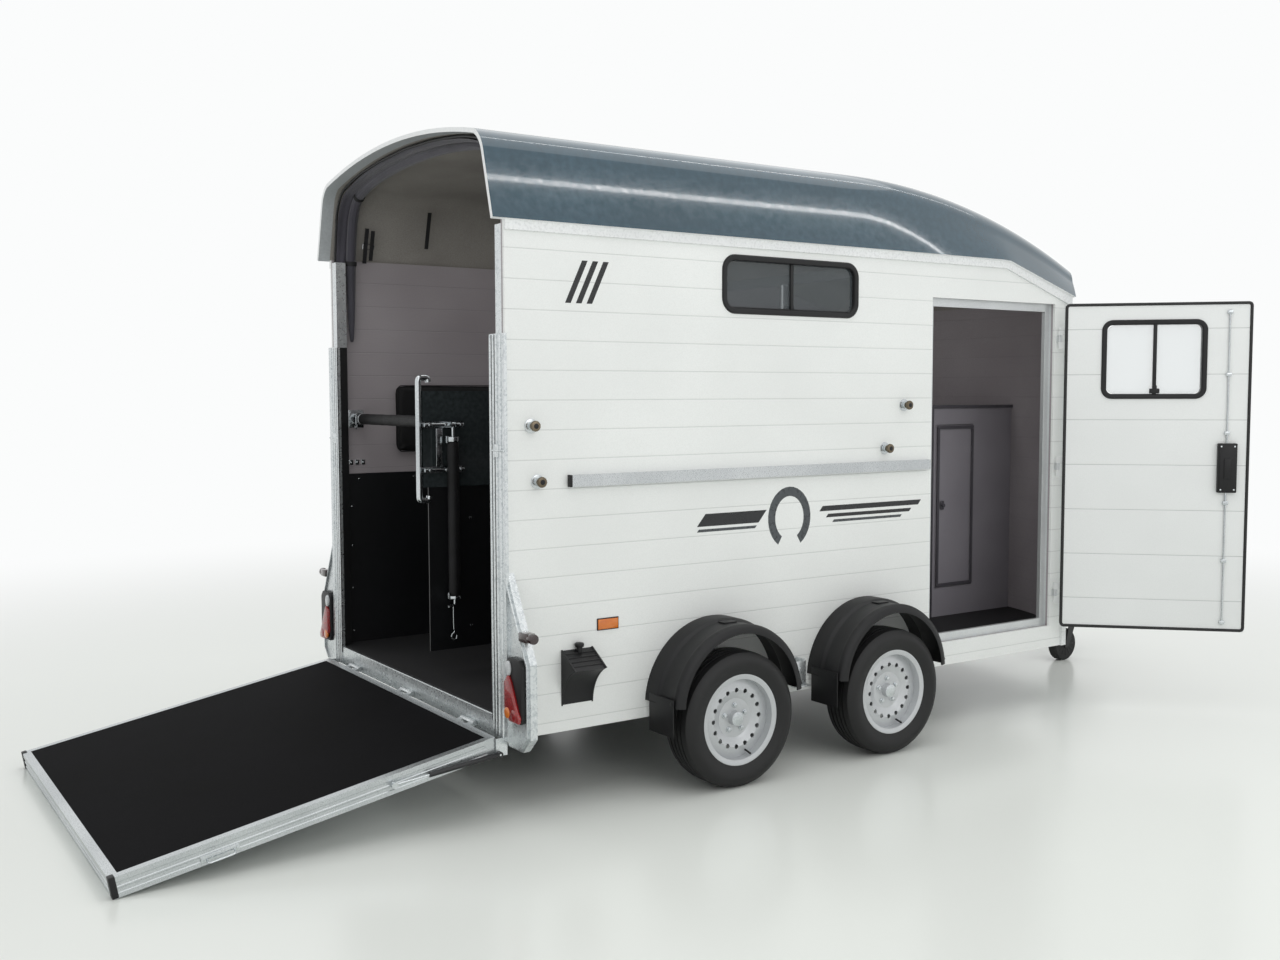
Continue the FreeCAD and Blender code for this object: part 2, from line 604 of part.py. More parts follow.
# Wheels: a pressed steel rim with its hub and drum, and a tyre on its bead seats
def wheel(name, at, side):
    flange, seat, t = s.rim_flange_radius, s.rim_seat_radius, s.rim_sheet
    edge = s.rim_width / 2
    well = seat - s.rim_well
    bore = s.stub_radius + s.running_gap
    face = s.hub_face
    crown = face + s.disc_crown
    blind = face - s.stub_short + t
    rim = turned("rim_body_" + name, [
        (flange, -edge), (flange, -edge + t), (seat, -edge + t * 2), (seat, -edge + t * 6),
        (well, -edge + t * 8), (well, ZERO), (seat, t * 3), (seat, edge - t * 2), (flange, edge - t), (flange, edge),
        (flange - t, edge), (seat - t, edge - t), (seat - t, face + t), (s.disc_crown_radius + t * 5, crown),
        (s.disc_crown_radius, crown + t), (s.hub_radius + t * 2, face + t), (s.hub_radius, face),
        (s.cap_radius, face), (s.cap_radius, face + s.cap_height), (ZERO, face + s.cap_height),
        (ZERO, blind), (bore, blind), (bore, -s.drum_back),
        (s.drum_radius - t * 2, -s.drum_back), (s.drum_radius - t * 2, face - t), (s.hub_radius + t * 3, face),
        (s.disc_crown_radius, crown), (s.disc_crown_radius + t * 5, crown - t), (seat - t, face - t),
        (seat - t, t * 4), (well - t, t), (well - t, -edge + t * 7), (seat - t, -edge + t * 5),
        (seat - t, -edge + t), (flange - t, -edge)])
    holes = rim.newObject("Sketcher::SketchObject", "vent_" + name)
    support = [item for item in rim.Origin.OriginFeatures if item.Role == "XZ_Plane"][0]
    holes.AttachmentSupport = [(support, "")]
    holes.MapMode = "FlatFace"
    holes.addGeometry(Part.Circle(FreeCAD.Vector(s.vent_circle.value, 0, 0), FreeCAD.Vector(0, 0, 1),
                                  s.vent_radius.value), False)
    holes.addConstraint([Sketcher.Constraint("DistanceX", -1, 1, 0, 3, s.vent_circle.value),
                         Sketcher.Constraint("DistanceY", -1, 1, 0, 3, 0),
                         Sketcher.Constraint("Radius", 0, s.vent_radius.value)])
    holes.setExpression("Constraints[0]", s.vent_circle.text)
    holes.setExpression("Constraints[2]", s.vent_radius.text)
    doc.recompute()
    solid = rim.Shape.Volume
    pocket = rim.newObject("PartDesign::Pocket", "vent_cut_" + name)
    pocket.Profile = holes
    bind(pocket, "Length", s.rim_width)
    rim.Tip = pocket
    doc.recompute()
    if rim.Shape.Volume >= solid:
        raise RuntimeError("a vent cuts nothing")
    ring = rim.newObject("PartDesign::PolarPattern", "vents_" + name)
    ring.Originals = [pocket]
    ring.Axis = (holes, ["N_Axis"])
    ring.Angle = 360
    bind(ring, "Occurrences", s.vent_count)
    rim.Tip = ring
    wide = s.tyre_width / 2
    high = s.tyre_radius
    low = seat + s.running_gap
    tread = s.tyre_tread_half
    crown_radius = s.tyre_crown_radius
    shoulder = high - crown_radius + root(crown_radius * crown_radius - tread * tread)
    tyre = turned("tyre_body_" + name, [
        (low, -s.tyre_bead), (low + s.tyre_bead_height, -s.tyre_bead - t, s.tyre_side_radius),
        (high - s.tyre_shoulder, -wide, s.tyre_shoulder_radius), (shoulder, -tread, s.tyre_crown_radius),
        (shoulder, tread, s.tyre_shoulder_radius), (high - s.tyre_shoulder, wide, s.tyre_side_radius),
        (low + s.tyre_bead_height, s.tyre_bead + t), (low, s.tyre_bead)])
    for piece, label in ((rim, "rim_" + name), (tyre, "tyre_" + name)):
        if side < 0:
            piece.Placement.Rotation = FreeCAD.Rotation(FreeCAD.Vector(0, 0, 1), 180)
        node(piece, label, at, s.wheel_track_half * side, s.tyre_radius)


# Half the arch's width at its ends, for a radius
def arch_half(radius):
    above = s.guard_bottom - s.guard_centre
    return root(radius * radius - above * above)


# Mudguards: four moulded arches with a turned-down outer lip and a flap behind each wheel
def arch(centre, outer, inside):
    low = s.guard_bottom
    wide, narrow = arch_half(outer), arch_half(inside)
    return [(centre + wide, low, outer), (centre, s.guard_centre + outer, outer), (centre - wide, low),
            (centre - narrow, low, -inside), (centre, s.guard_centre + inside, -inside), (centre + narrow, low)]


def mudguards():
    pieces = []
    t = s.guard_thick
    outer = s.guard_radius
    for word, at in (("rear", s.axle_rear_at), ("front", axle_front_at)):
        shell = panel("guard_" + word, "XZ_Plane", [arch(at, outer, outer - t)], s.guard_outer - half)
        edge = panel("guard_lip_" + word, "XZ_Plane", [arch(at, outer, outer - s.guard_lip)], t)
        flap = box("flap_" + word, (at - arch_half(outer), at - arch_half(outer - t)),
                   (-s.guard_outer, -half - s.guard_lip), (s.flap_bottom, s.guard_bottom))
        piece = fuse("guard_right_" + word, [place(shell, ZERO, -s.guard_outer), place(edge, ZERO, -s.guard_outer),
                                             flap])
        pieces += [piece, mirrored("guard_left_" + word, piece)]
    node(group("mudguard_set", pieces), "mudguards")


# Floor board: flat sides, its front edge along the bowed wall
def floor():
    front = bow_centre + root((bow_radius - s.wall_thick) * (bow_radius - s.wall_thick) - inner * inner)
    body = panel("floor_body", "XY_Plane",
                 [[(ZERO, -inner), (front, -inner, bow_radius - s.wall_thick), (front, inner), (ZERO, inner)]],
                 s.floor_thick)
    node(body, "floor", ZERO, ZERO, floor_under)


# Side walls of hollow planks, with a window each and the groom doorway on the right
def side_walls():
    border = s.glass_border / 2
    for side, word in ((-1, "right"), (1, "left")):
        loops = [[(ZERO, s.wall_bottom), (s.body_length, s.wall_bottom), (s.body_length, s.front_top),
                  (s.knee_at, s.wall_top), (ZERO, s.wall_top)],
                 rounded((s.window_rear + border, s.window_front - border),
                         (s.window_bottom + border, s.window_top - border), s.glass_corner - border)]
        if side < 0:
            loops.append(rectangle((s.door_rear, s.door_front), (s.door_bottom, s.door_top)))
        body = panel("wall_body_" + word, "XZ_Plane", loops, s.wall_thick)
        node(body, "side_wall_" + word, ZERO, -half if side < 0 else inner, ZERO)


# Front wall, bowed in plan, from the chassis to its level top edge
def front_wall():
    bent = bow_radius - s.wall_thick
    ahead = s.body_length - bow_centre
    end = root(bent * bent - ahead * ahead)
    body = panel("front_body", "XY_Plane",
                 [[(s.body_length, -half, bow_radius), (s.body_length, half), (s.body_length, end, -bent),
                   (s.body_length, -end)]], s.front_top - floor_under)
    node(body, "front_wall", ZERO, ZERO, floor_under)


# Roof: a moulded shell; its sections are lines and arcs at a few stations, straight and then over the nose
def roof_drop(x):
    run = max(0.0, x - s.nose_start.value)
    return s.nose_radius.value - math.sqrt(s.nose_radius.value ** 2 - run ** 2)


def roof_section(x, inward):
    drop = roof_drop(x)
    wide = half.value + s.roof_over.value - inward
    slope = (s.wall_top.value - s.front_top.value) / (s.body_length.value - s.knee_at.value)
    edge = s.wall_top.value - max(0.0, x - s.knee_at.value) * slope
    side = s.roof_side_half.value - inward
    side_z = s.wall_top.value + s.roof_side_rise.value - drop - inward / 2
    shoulder = s.roof_shoulder_half.value - inward / 2
    shoulder_z = s.roof_shoulder.value - drop - inward
    crown_z = s.roof_crown.value - drop - inward
    base = floor_under.value + s.front_top.value / 2
    right = [(-wide, base), (-wide, edge), (-side, side_z), (-shoulder, shoulder_z)]
    points = [FreeCAD.Vector(x, y, z) for y, z in right + [(-y, z) for y, z in reversed(right)]]
    chord = (points[3] - points[2])
    normal = FreeCAD.Vector(0, -chord.z, chord.y).normalize()
    radius = s.roof_shoulder_radius.value
    bulge = radius - math.sqrt(radius ** 2 - chord.Length ** 2 / 4)
    middle = (points[2] + points[3]) * 0.5 + normal * bulge
    opposite = FreeCAD.Vector(x, -middle.y, middle.z)
    crown = FreeCAD.Vector(x, 0, crown_z)
    edges = [Part.LineSegment(points[0], points[1]), Part.LineSegment(points[1], points[2]),
             Part.Arc(points[2], middle, points[3]), Part.Arc(points[3], crown, points[4]),
             Part.Arc(points[4], opposite, points[5]), Part.LineSegment(points[5], points[6]),
             Part.LineSegment(points[6], points[7]), Part.LineSegment(points[7], points[0])]
    return Part.Wire([edge.toShape() for edge in edges])


def roof_block(inward, rear):
    ahead = s.body_length.value + s.bow_rise.value + s.roof_over.value * 2
    nose = (ahead - s.nose_start.value) / s.nose_steps.value
    stations = [rear] + [s.nose_start.value + nose * step for step in range(int(s.nose_steps.value) + 1)]
    stations = sorted(set(stations + [s.knee_at.value]))
    block = Part.makeLoft([roof_section(x, inward) for x in stations], True, True)
    wide = half.value + s.roof_over.value - inward
    radius = bow_radius.value + s.roof_over.value - inward
    corner = bow_centre.value + math.sqrt(radius ** 2 - wide ** 2)
    a, b = FreeCAD.Vector(rear, -wide, 0), FreeCAD.Vector(corner, -wide, 0)
    c, d = FreeCAD.Vector(corner, wide, 0), FreeCAD.Vector(rear, wide, 0)
    bow = Part.Arc(b, FreeCAD.Vector(bow_centre.value + radius, 0, 0), c)
    plan = Part.Face(Part.Wire([Part.LineSegment(a, b).toShape(), bow.toShape(), Part.LineSegment(c, d).toShape(),
                                Part.LineSegment(d, a).toShape()]))
    return block.common(plan.extrude(FreeCAD.Vector(0, 0, s.roof_crown.value * 2)))


def roof():
    rim = -s.roof_rim.value
    shell = roof_block(0, rim).cut(roof_block(s.roof_thick.value, rim - s.roof_thick.value))
    ahead = s.body_length.value + s.bow_rise.value * 2
    under = s.front_top.value
    side = [(rim * 2, 0), (ahead, 0), (ahead, under), (s.body_length.value, under),
            (s.knee_at.value, s.wall_top.value), (rim * 2, s.wall_top.value)]
    points = [FreeCAD.Vector(x, -s.body_width.value, z) for x, z in side]
    below = Part.Face(Part.makePolygon(points + points[:1])).extrude(FreeCAD.Vector(0, s.body_width.value * 2, 0))
    shape_node(shell.cut(below).removeSplitter(), "roof")


# Rails: one under the roof's edge with the upright at the front corner, and the rub rail
def rails():
    drop = s.top_rail_height
    upright = s.body_length - s.corner_rail_width
    strip = [(ZERO, s.wall_top - drop), (s.knee_at, s.wall_top - drop), (upright, s.front_top - drop),
             (upright, s.wall_bottom), (s.body_length, s.wall_bottom), (s.body_length, s.front_top),
             (s.knee_at, s.wall_top), (ZERO, s.wall_top)]
    rail = place(panel("top_rail", "XZ_Plane", [strip], s.top_rail_proud), ZERO, -half - s.top_rail_proud)
    node(pair("top_rail_set", rail), "top_rails")
    rub = box("rub_rail", (s.rub_rail_rear, s.rub_rail_front), (-half - s.rub_rail_proud, -half),
              (s.rub_rail_bottom, s.rub_rail_bottom + s.rub_rail_height))
    node(pair("rub_rail_set", rub), "rub_rails")


# Rear frame: posts, closing profiles, sill, flared gussets and the hinge lugs for the ramp and its struts
def rear_frame():
    post = box("rear_post", (ZERO, s.post_depth), (-inner, -inner + s.post_width),
               (s.floor_top, s.post_top))
    closing = box("closing_profile", (-s.closing_depth, ZERO), (-s.closing_outer, -s.closing_inner),
                  (s.wall_bottom, s.closing_top))
    out = half + s.gusset_out
    face = [(-half, s.gusset_flare), (-out, s.gusset_corner), (-out, s.gusset_bottom + s.gusset_cut),
            (-out + s.gusset_cut, s.gusset_bottom), (-half, s.gusset_bottom)]
    plate = panel("gusset_face", "YZ_Plane", [face], s.sheet_metal)
    fold = [(-half, s.gusset_flare), (-out, s.gusset_corner), (-out, s.gusset_bottom + s.gusset_cut),
            (-out + s.gusset_cut, s.gusset_bottom), (-out + s.gusset_cut + s.sheet_metal, s.gusset_bottom),
            (-out + s.sheet_metal, s.gusset_bottom + s.gusset_cut + s.sheet_metal / 2),
            (-out + s.sheet_metal, s.gusset_corner), (-half, s.gusset_flare - s.sheet_metal * 2)]
    edge = panel("gusset_edge", "YZ_Plane", [fold], s.gusset_depth)
    side = fuse("rear_side", [post, closing, plate, edge])
    sill = box("rear_sill", (-s.closing_depth, ZERO), (-s.closing_inner, s.closing_inner),
               (s.wall_bottom, s.floor_top - s.sill_step))
    pieces = [side, mirrored("rear_side_left", side), sill]
    hinge_x, hinge_z = -s.ramp_hinge_back, s.ramp_hinge_up
    for index, y in enumerate((-s.ramp_hinge_offset, ZERO, s.ramp_hinge_offset)):
        low, high = y - s.ramp_knuckle / 2, y + s.ramp_knuckle / 2
        pieces.append(box("hinge_lug_%d" % index, (hinge_x, ZERO), (low, high),
                          (hinge_z - s.ramp_hinge_radius, hinge_z + s.ramp_hinge_radius / 2)))
        pieces.append(bar("hinge_pin_%d" % index, (hinge_x, low, hinge_z), (hinge_x, high, hinge_z),
                          s.ramp_hinge_radius))
    for side_sign in (-1, 1):
        near = (s.strut_out - s.strut_body_radius - s.running_gap) * side_sign
        deep = near - s.sheet_metal * side_sign
        low, high = (near, deep) if side_sign < 0 else (deep, near)
        pieces.append(box("strut_foot_%d" % side_sign,
                          (-s.strut_foot_back - s.strut_body_radius, ZERO), (low, high),
                          (s.strut_foot_up - s.strut_body_radius, s.wall_bottom + s.closing_depth)))
        pieces.append(bar("strut_pin_%d" % side_sign, (-s.strut_foot_back, deep, s.strut_foot_up),
                          (-s.strut_foot_back, (s.strut_out + s.strut_body_radius) * side_sign, s.strut_foot_up),
                          s.strut_pin_radius))
    node(fuse("rear_frame_fuse", pieces), "rear_frame")


# The open ramp slopes from its hinge down to the ground
ramp_under = s.ramp_thick.value - s.ramp_above.value
ramp_drop = s.ramp_hinge_up.value - s.ground_gap.value
ramp_slope = (math.asin(ramp_drop / math.hypot(s.ramp_length.value, ramp_under))
              - math.atan2(ramp_under, s.ramp_length.value))


# Ramp: an aluminium-edged panel with a rubber mat let into its top, hinge knuckles and strut studs
def ramp():
    tilt = FreeCAD.Rotation(FreeCAD.Vector(0, 1, 0), -math.degrees(ramp_slope))
    long = (-s.ramp_length, -s.ramp_heel)
    wide = (-s.ramp_half, s.ramp_half)
    inset = ((long[0] + s.ramp_rim, long[1] - s.ramp_rim), (wide[0] + s.ramp_rim, wide[1] - s.ramp_rim))
    tray = cut("ramp_tray", box("ramp_block", long, wide, (s.ramp_above - s.ramp_thick, s.ramp_above)),
               box("ramp_recess", inset[0], inset[1], (s.ramp_above - s.ramp_mat_thick, s.ramp_above * 2)))
    pieces = [tray]
    for index, y in enumerate((-s.ramp_hinge_offset, ZERO, s.ramp_hinge_offset)):
        for side in (-1, 1):
            near = y + (s.ramp_knuckle / 2 + s.running_gap) * side
            far = near + s.ramp_knuckle / 2 * side
            low, high = (far, near) if side < 0 else (near, far)
            pieces.append(bar("ramp_knuckle_%d_%d" % (index, side), (ZERO, low, ZERO), (ZERO, high, ZERO),
                              s.ramp_hinge_radius))
            pieces.append(box("ramp_strap_%d_%d" % (index, side), (-s.ramp_heel - s.running_gap, ZERO), (low, high),
                              (-s.ramp_hinge_radius, s.ramp_above)))
    for side in (-1, 1):
        pieces.append(bar("strut_stud_%d" % side, (-s.strut_eye, s.ramp_half * side, -s.strut_eye_drop),
                          (-s.strut_eye, (s.strut_out - s.strut_eye_half - s.running_gap) * side, -s.strut_eye_drop),
                          s.strut_eye_radius))
    mat = group("ramp_mat_group", [box("ramp_mat_block", inset[0], inset[1],
                                       (s.ramp_above - s.ramp_mat_thick, s.ramp_above))])
    for thing, label in ((fuse("ramp_fuse", pieces), "ramp_panel"), (mat, "ramp_mat")):
        thing.Placement.Rotation = tilt
        node(thing, label, -s.ramp_hinge_back, ZERO, s.ramp_hinge_up)


# Gas struts beside the ramp: a cylinder on the body's foot plate, a rod that ends at the ramp's stud
def struts():
    cos, sin = math.cos(ramp_slope), math.sin(ramp_slope)
    eye_x = as_size(-s.ramp_hinge_back.value - s.strut_eye.value * cos + s.strut_eye_drop.value * sin)
    eye_z = as_size(s.ramp_hinge_up.value - s.strut_eye.value * sin - s.strut_eye_drop.value * cos)
    foot_x, foot_z = -s.strut_foot_back, s.strut_foot_up
    length = math.hypot(eye_x.value - foot_x.value, eye_z.value - foot_z.value)
    ux = (eye_x.value - foot_x.value) / length
    uz = (eye_z.value - foot_z.value) / length

    def along(distance):
        distance = as_size(distance).value
        return as_size(foot_x.value + ux * distance), as_size(foot_z.value + uz * distance)

    for side, word in ((-1, "right"), (1, "left")):
        y = s.strut_out * side
        points = {}
        for key, distance in (("near", s.strut_body_radius), ("mouth", s.strut_body_length),
                              ("past", s.strut_body_length + s.bore_over),
                              ("bore", s.strut_body_length - s.strut_bore),
                              ("inner", s.strut_body_length - s.strut_inside), ("end", length)):
            px, pz = along(distance)
            points[key] = (px, y, pz)
        low, high = y - s.strut_eye_half, y + s.strut_eye_half
        cylinder = fuse("strut_body_" + word, [
            bar("strut_case_" + word, points["near"], points["mouth"], s.strut_body_radius),
            bar("strut_foot_eye_" + word, (foot_x, low, foot_z), (foot_x, high, foot_z), s.strut_eye_radius)])
        bores = fuse("strut_bores_" + word, [
            bar("strut_bore_" + word, points["bore"], points["past"], s.strut_rod_radius + s.running_gap),
            bar("strut_foot_bore_" + word, (foot_x, low - s.bore_over, foot_z),
                (foot_x, high + s.bore_over, foot_z), s.strut_pin_radius + s.running_gap)])
        node(cut("strut_cylinder_cut_" + word, cylinder, bores), "strut_cylinder_" + word)
        rod = fuse("strut_rod_fuse_" + word, [
            bar("strut_rod_bar_" + word, points["inner"], points["end"], s.strut_rod_radius),
            bar("strut_rod_eye_" + word, (eye_x, low, eye_z), (eye_x, high, eye_z), s.strut_eye_radius)])
        node(rod, "strut_rod_" + word)


# Tail lamps on the gussets
def lamps():
    out = half + s.gusset_out - s.lamp_inset
    lamp = box("lamp", (-s.lamp_depth, ZERO), (-out, -out + s.lamp_width),
               (s.lamp_bottom, s.lamp_bottom + s.lamp_height))
    node(pair("lamp_set", lamp), "tail_lamps")


# Wheel chocks in their holders on the side walls, each with the hollow face that fits a tyre
def chocks():
    top = s.chock_bottom + s.chock_height
    wedge = [(-half, top), (-half - s.chock_width, top - s.chock_slope, -s.chock_hollow), (-half, s.chock_bottom)]
    chock = place(panel("chock", "YZ_Plane", [wedge], s.chock_length), s.chock_at)
    node(pair("chock_set", chock), "wheel_chocks")


# Side windows: a rounded frame clipped through the wall, and its pane
def side_windows():
    x, z = (s.window_rear, s.window_front), (s.window_bottom, s.window_top)
    border = s.glass_border
    hole = rounded((x[0] + border, x[1] - border), (z[0] + border, z[1] - border), s.glass_corner - border)
    seat = rounded((x[0] + border / 2, x[1] - border / 2), (z[0] + border / 2, z[1] - border / 2),
                   s.glass_corner - border / 2)
    flange = place(panel("window_flange", "XZ_Plane", [rounded(x, z, s.glass_corner), hole], s.window_proud),
                   ZERO, -half - s.window_proud)
    neck = place(panel("window_neck", "XZ_Plane", [seat, hole], s.wall_thick), ZERO, -half)
    node(pair("window_frame_set", fuse("window_frame", [flange, neck])), "window_frames")
    pane = place(panel("window_pane", "XZ_Plane", [hole], s.glass_thick), ZERO, -half + s.wall_thick / 2)
    node(pair("window_pane_set", pane), "window_panes")


# Groom door: frame with its stop, leaf, window, pane and latch; the leaf turns about the hinge pins
def groom_door():
    x, z = (s.door_rear, s.door_front), (s.door_bottom, s.door_top)
    width, lap, gap = s.frame_width, s.frame_lap, s.door_gap
    clear = rectangle((x[0] + width, x[1] - width), (z[0] + width, z[1] - width))
    ring = place(panel("frame_ring", "XZ_Plane", [rectangle((x[0] - lap, x[1] + lap), (z[0], z[1] + lap)),
                                                  rectangle(x, (z[0] + gap, z[1]))], s.frame_thick), ZERO, -inner)
    stop_at = -half - s.door_proud + s.door_thick + gap * 2
    stop = place(panel("frame_stop", "XZ_Plane", [rectangle((x[0] - gap, x[1] + gap), (z[0], z[1] + gap)), clear],
                       s.frame_thick - gap * 2), ZERO, stop_at)
    hinge_x, hinge_y = x[1] + s.hinge_ahead, -half - s.hinge_out
    knuckle = s.hinge_knuckle
    pieces = [ring, stop]
    heights = (z[0] + s.hinge_inset, (z[0] + z[1]) / 2, z[1] - s.hinge_inset)
    outer = []
    for index, up in enumerate(heights):
        low, high = up - knuckle / 2, up + knuckle / 2
        pin = bar("hinge_barrel_%d" % index, (hinge_x, hinge_y, low), (hinge_x, hinge_y, high), s.hinge_radius)
        leaf = box("hinge_plate_%d" % index, (hinge_x - s.hinge_radius / 2, hinge_x + s.hinge_leaf),
                   (hinge_y, -half), (low, high))
        outer.append(fuse("frame_hinge_%d" % index, [pin, leaf]))
    node(group("door_frame_set", [fuse("door_frame_ring", pieces)] + outer), "door_frame")

    turn = FreeCAD.Rotation(FreeCAD.Vector(0, 0, 1), s.door_open.value)
    leaf_y = s.hinge_out - s.door_proud
    leaf_x = (x[0] + gap - hinge_x, x[1] - gap - hinge_x)
    leaf_z = (z[0] + gap, z[1] - gap)
    border = s.glass_border
    glass_x = (-s.door_glass_to, -s.door_glass_from)
    glass_z = (s.door_glass_bottom, s.door_glass_top)
    seat = rounded((glass_x[0] + border / 2, glass_x[1] - border / 2),
                   (glass_z[0] + border / 2, glass_z[1] - border / 2), s.glass_corner - border / 2)
    hole = rounded((glass_x[0] + border, glass_x[1] - border), (glass_z[0] + border, glass_z[1] - border),
                   s.glass_corner - border)
    leaf = [place(panel("door_leaf_panel", "XZ_Plane", [rectangle(leaf_x, leaf_z), seat], s.door_thick),
                  ZERO, leaf_y)]
    for index, up in enumerate(heights):
        for side in (-1, 1):
            near = up + (knuckle / 2 + s.running_gap) * side
            far = near + knuckle * side
            low, high = (far, near) if side < 0 else (near, far)
            leaf.append(bar("leaf_knuckle_%d_%d" % (index, side), (ZERO, ZERO, low), (ZERO, ZERO, high),
                            s.hinge_radius))
            leaf.append(box("leaf_strap_%d_%d" % (index, side), (-s.hinge_leaf * 2, ZERO),
                            (-s.sheet_metal, leaf_y + s.running_gap), (low, high)))
    flange = place(panel("door_window_flange", "XZ_Plane", [rounded(glass_x, glass_z, s.glass_corner), hole],
                         s.window_proud), ZERO, leaf_y + s.door_thick)
    neck = place(panel("door_window_neck", "XZ_Plane", [seat, hole], s.door_thick), ZERO, leaf_y)
    pane = place(panel("door_pane_sheet", "XZ_Plane", [hole], s.glass_thick), ZERO, leaf_y + s.door_thick / 2)
    latch = box("latch_case", (leaf_x[0] + s.latch_inset, leaf_x[0] + s.latch_inset + s.latch_wide),
                (leaf_y + s.door_thick, leaf_y + s.door_thick + s.latch_deep),
                (s.latch_bottom, s.latch_bottom + s.latch_high))
    for thing, label in ((fuse("door_leaf_fuse", leaf), "door_leaf"),
                         (fuse("door_window_fuse", [flange, neck]), "door_window_frame"),
                         (group("door_pane_group", [pane]), "door_pane"),
                         (group("door_latch_group", [latch]), "door_latch")):
        thing.Placement.Rotation = turn
        node(thing, label, hinge_x, hinge_y, ZERO)


# Partition between the stalls: post, board, the tube round its rear edge and the rubber curtain
def partition():
    thick = s.partition_thick / 2
    post = bar("partition_post_bar", (s.post_at, ZERO, s.floor_top), (s.post_at, ZERO, s.post_head), s.post_radius)
    head = box("partition_head", (s.post_at - s.post_radius, s.post_at + s.post_radius), (-inner, inner),
               (s.post_head, s.post_head + s.rail_width))
    node(fuse("partition_post_fuse", [post, head]), "partition_post")
    board = [box("partition_board", (s.partition_rear, partition_front), (-thick, thick),
                 (s.partition_bottom, s.partition_top))]
    holes = []
    for index, z in enumerate((s.partition_bottom + s.collar_height, s.partition_top - s.collar_height)):
        low, high = z - s.collar_height / 2, z + s.collar_height / 2
        board.append(bar("collar_%d" % index, (s.post_at, ZERO, low), (s.post_at, ZERO, high),
                         s.post_radius + s.collar_wall))
        board.append(box("collar_tab_%d" % index, (partition_front - s.collar_height, s.post_at),
                         (-thick, thick), (low, high)))
        holes.append(bar("collar_bore_%d" % index, (s.post_at, ZERO, low - s.bore_over),
                         (s.post_at, ZERO, high + s.bore_over), s.post_radius + s.running_gap))
    node(cut("partition_board_cut", fuse("partition_board_fuse", board), fuse("collar_bores", holes)),
         "partition_panel")
    tube = s.partition_tube_radius
    rear = s.partition_rear - tube - s.running_gap
    reach = s.tube_reach
    low, high = s.partition_bottom - reach, s.partition_top + reach
    pieces = [bar("partition_upright", (rear, ZERO, low), (rear, ZERO, high), tube)]
    for index, z in enumerate((s.bracket_low, s.right_bar_pivot)):
        for side in (-1, 1):
            near, far = thick * side, (thick + s.sheet_metal) * side
            low_y, high_y = (far, near) if side < 0 else (near, far)
            pieces.append(box("partition_bracket_%d_%d" % (index, side), (rear, s.partition_rear + s.bracket_long),
                              (low_y, high_y), (z - tube, z + tube)))
    x, y, z = s.right_bar_at, -s.right_bar_out, s.right_bar_pivot
    eye, lug, thin = s.bar_eye_radius, s.bar_lug_half, s.sheet_metal
    for side in (-1, 1):
        near, far = x + lug * side, x + (lug + thin) * side
        low_x, high_x = (far, near) if side < 0 else (near, far)
        pieces.append(box("bar_lug_%d" % side, (low_x, high_x), (y - eye, -thick), (z - eye, z + eye)))
    pieces.append(bar("bar_pin", (x - lug - thin, y, z), (x + lug + thin, y, z), s.bar_pin_radius))
    node(fuse("partition_tube_fuse", pieces), "partition_tube")
    node(box("curtain", (s.partition_rear + tube * 2, partition_front), (-s.curtain_thick / 2, s.curtain_thick / 2),
             (s.curtain_bottom, s.partition_bottom)), "partition_curtain",
         s.partition_rear + tube * 2, -s.curtain_thick / 2, s.curtain_bottom)


# Padded bars behind and ahead of the horses, with their sockets and the release knobs outside
def bars():
    radius = s.bar_radius
    eye = s.bar_eye_radius
    x, y, z = s.left_bar_at, inner - s.socket_depth - eye - s.running_gap, s.bar_level
    node(fuse("left_bar_fuse", [
        bar("left_bar", (x, y - s.bar_neck, z), (x, s.left_bar_end, z), radius),
        bar("left_bar_neck", (x, y, z), (x, y - s.bar_neck, z), s.knob_radius / 2),
        bar("left_bar_eye", (x, y, z - eye), (x, y, z + eye), eye)]), "rear_bar_left")
    x, y, z = s.right_bar_at, -s.right_bar_out, s.right_bar_pivot
    lug, gap = s.bar_lug_half, s.running_gap
    right = fuse("right_bar_fuse", [
        bar("right_bar", (x, y, z - s.right_bar_neck), (x, y, z - s.right_bar_length), radius),
        bar("right_bar_neck", (x, y, z), (x, y, z - s.right_bar_neck), s.knob_radius / 2),
        bar("right_bar_eye", (x - lug + gap, y, z), (x + lug - gap, y, z), eye)])
    node(cut("right_bar_cut", right, bar("right_bar_bore", (x - lug, y, z), (x + lug, y, z), s.bar_pin_radius + gap)),
         "rear_bar_right")
    pieces = []
    for index, (x, z) in enumerate(((s.left_bar_at, s.bar_level), (s.post_at, s.breast_bar_level))):
        socket = bar("socket_inside_%d" % index, (x, -inner, z), (x, -inner + s.socket_depth, z), s.socket_radius)
        knob = fuse("knob_%d" % index, [
            bar("knob_stem_%d" % index, (x, -half - s.knob_out, z), (x, -half, z), s.knob_radius / 2),
            bar("knob_ball_%d" % index, (x, -half - s.knob_out, z), (x, -half - s.knob_out / 2, z), s.knob_radius)])
        pieces += [socket, mirrored("socket_left_%d" % index, socket), knob, mirrored("knob_left_%d" % index, knob)]
    node(group("socket_set", pieces), "bar_sockets")
    front = []
    for side in (-1, 1):
        end = (inner - s.socket_depth) * side
        near = (s.post_radius + s.post_clear) * side
        front.append(fuse("breast_bar_fuse_%d" % side, [
            bar("breast_bar_%d" % side, (s.post_at, near, s.breast_bar_level), (s.post_at, end, s.breast_bar_level),
                radius),
            bar("breast_bar_pin_%d" % side, (s.post_at, s.post_radius * side, s.breast_bar_level),
                (s.post_at, near, s.breast_bar_level), s.knob_radius / 2)]))
    node(group("breast_bar_set", front), "breast_bars")


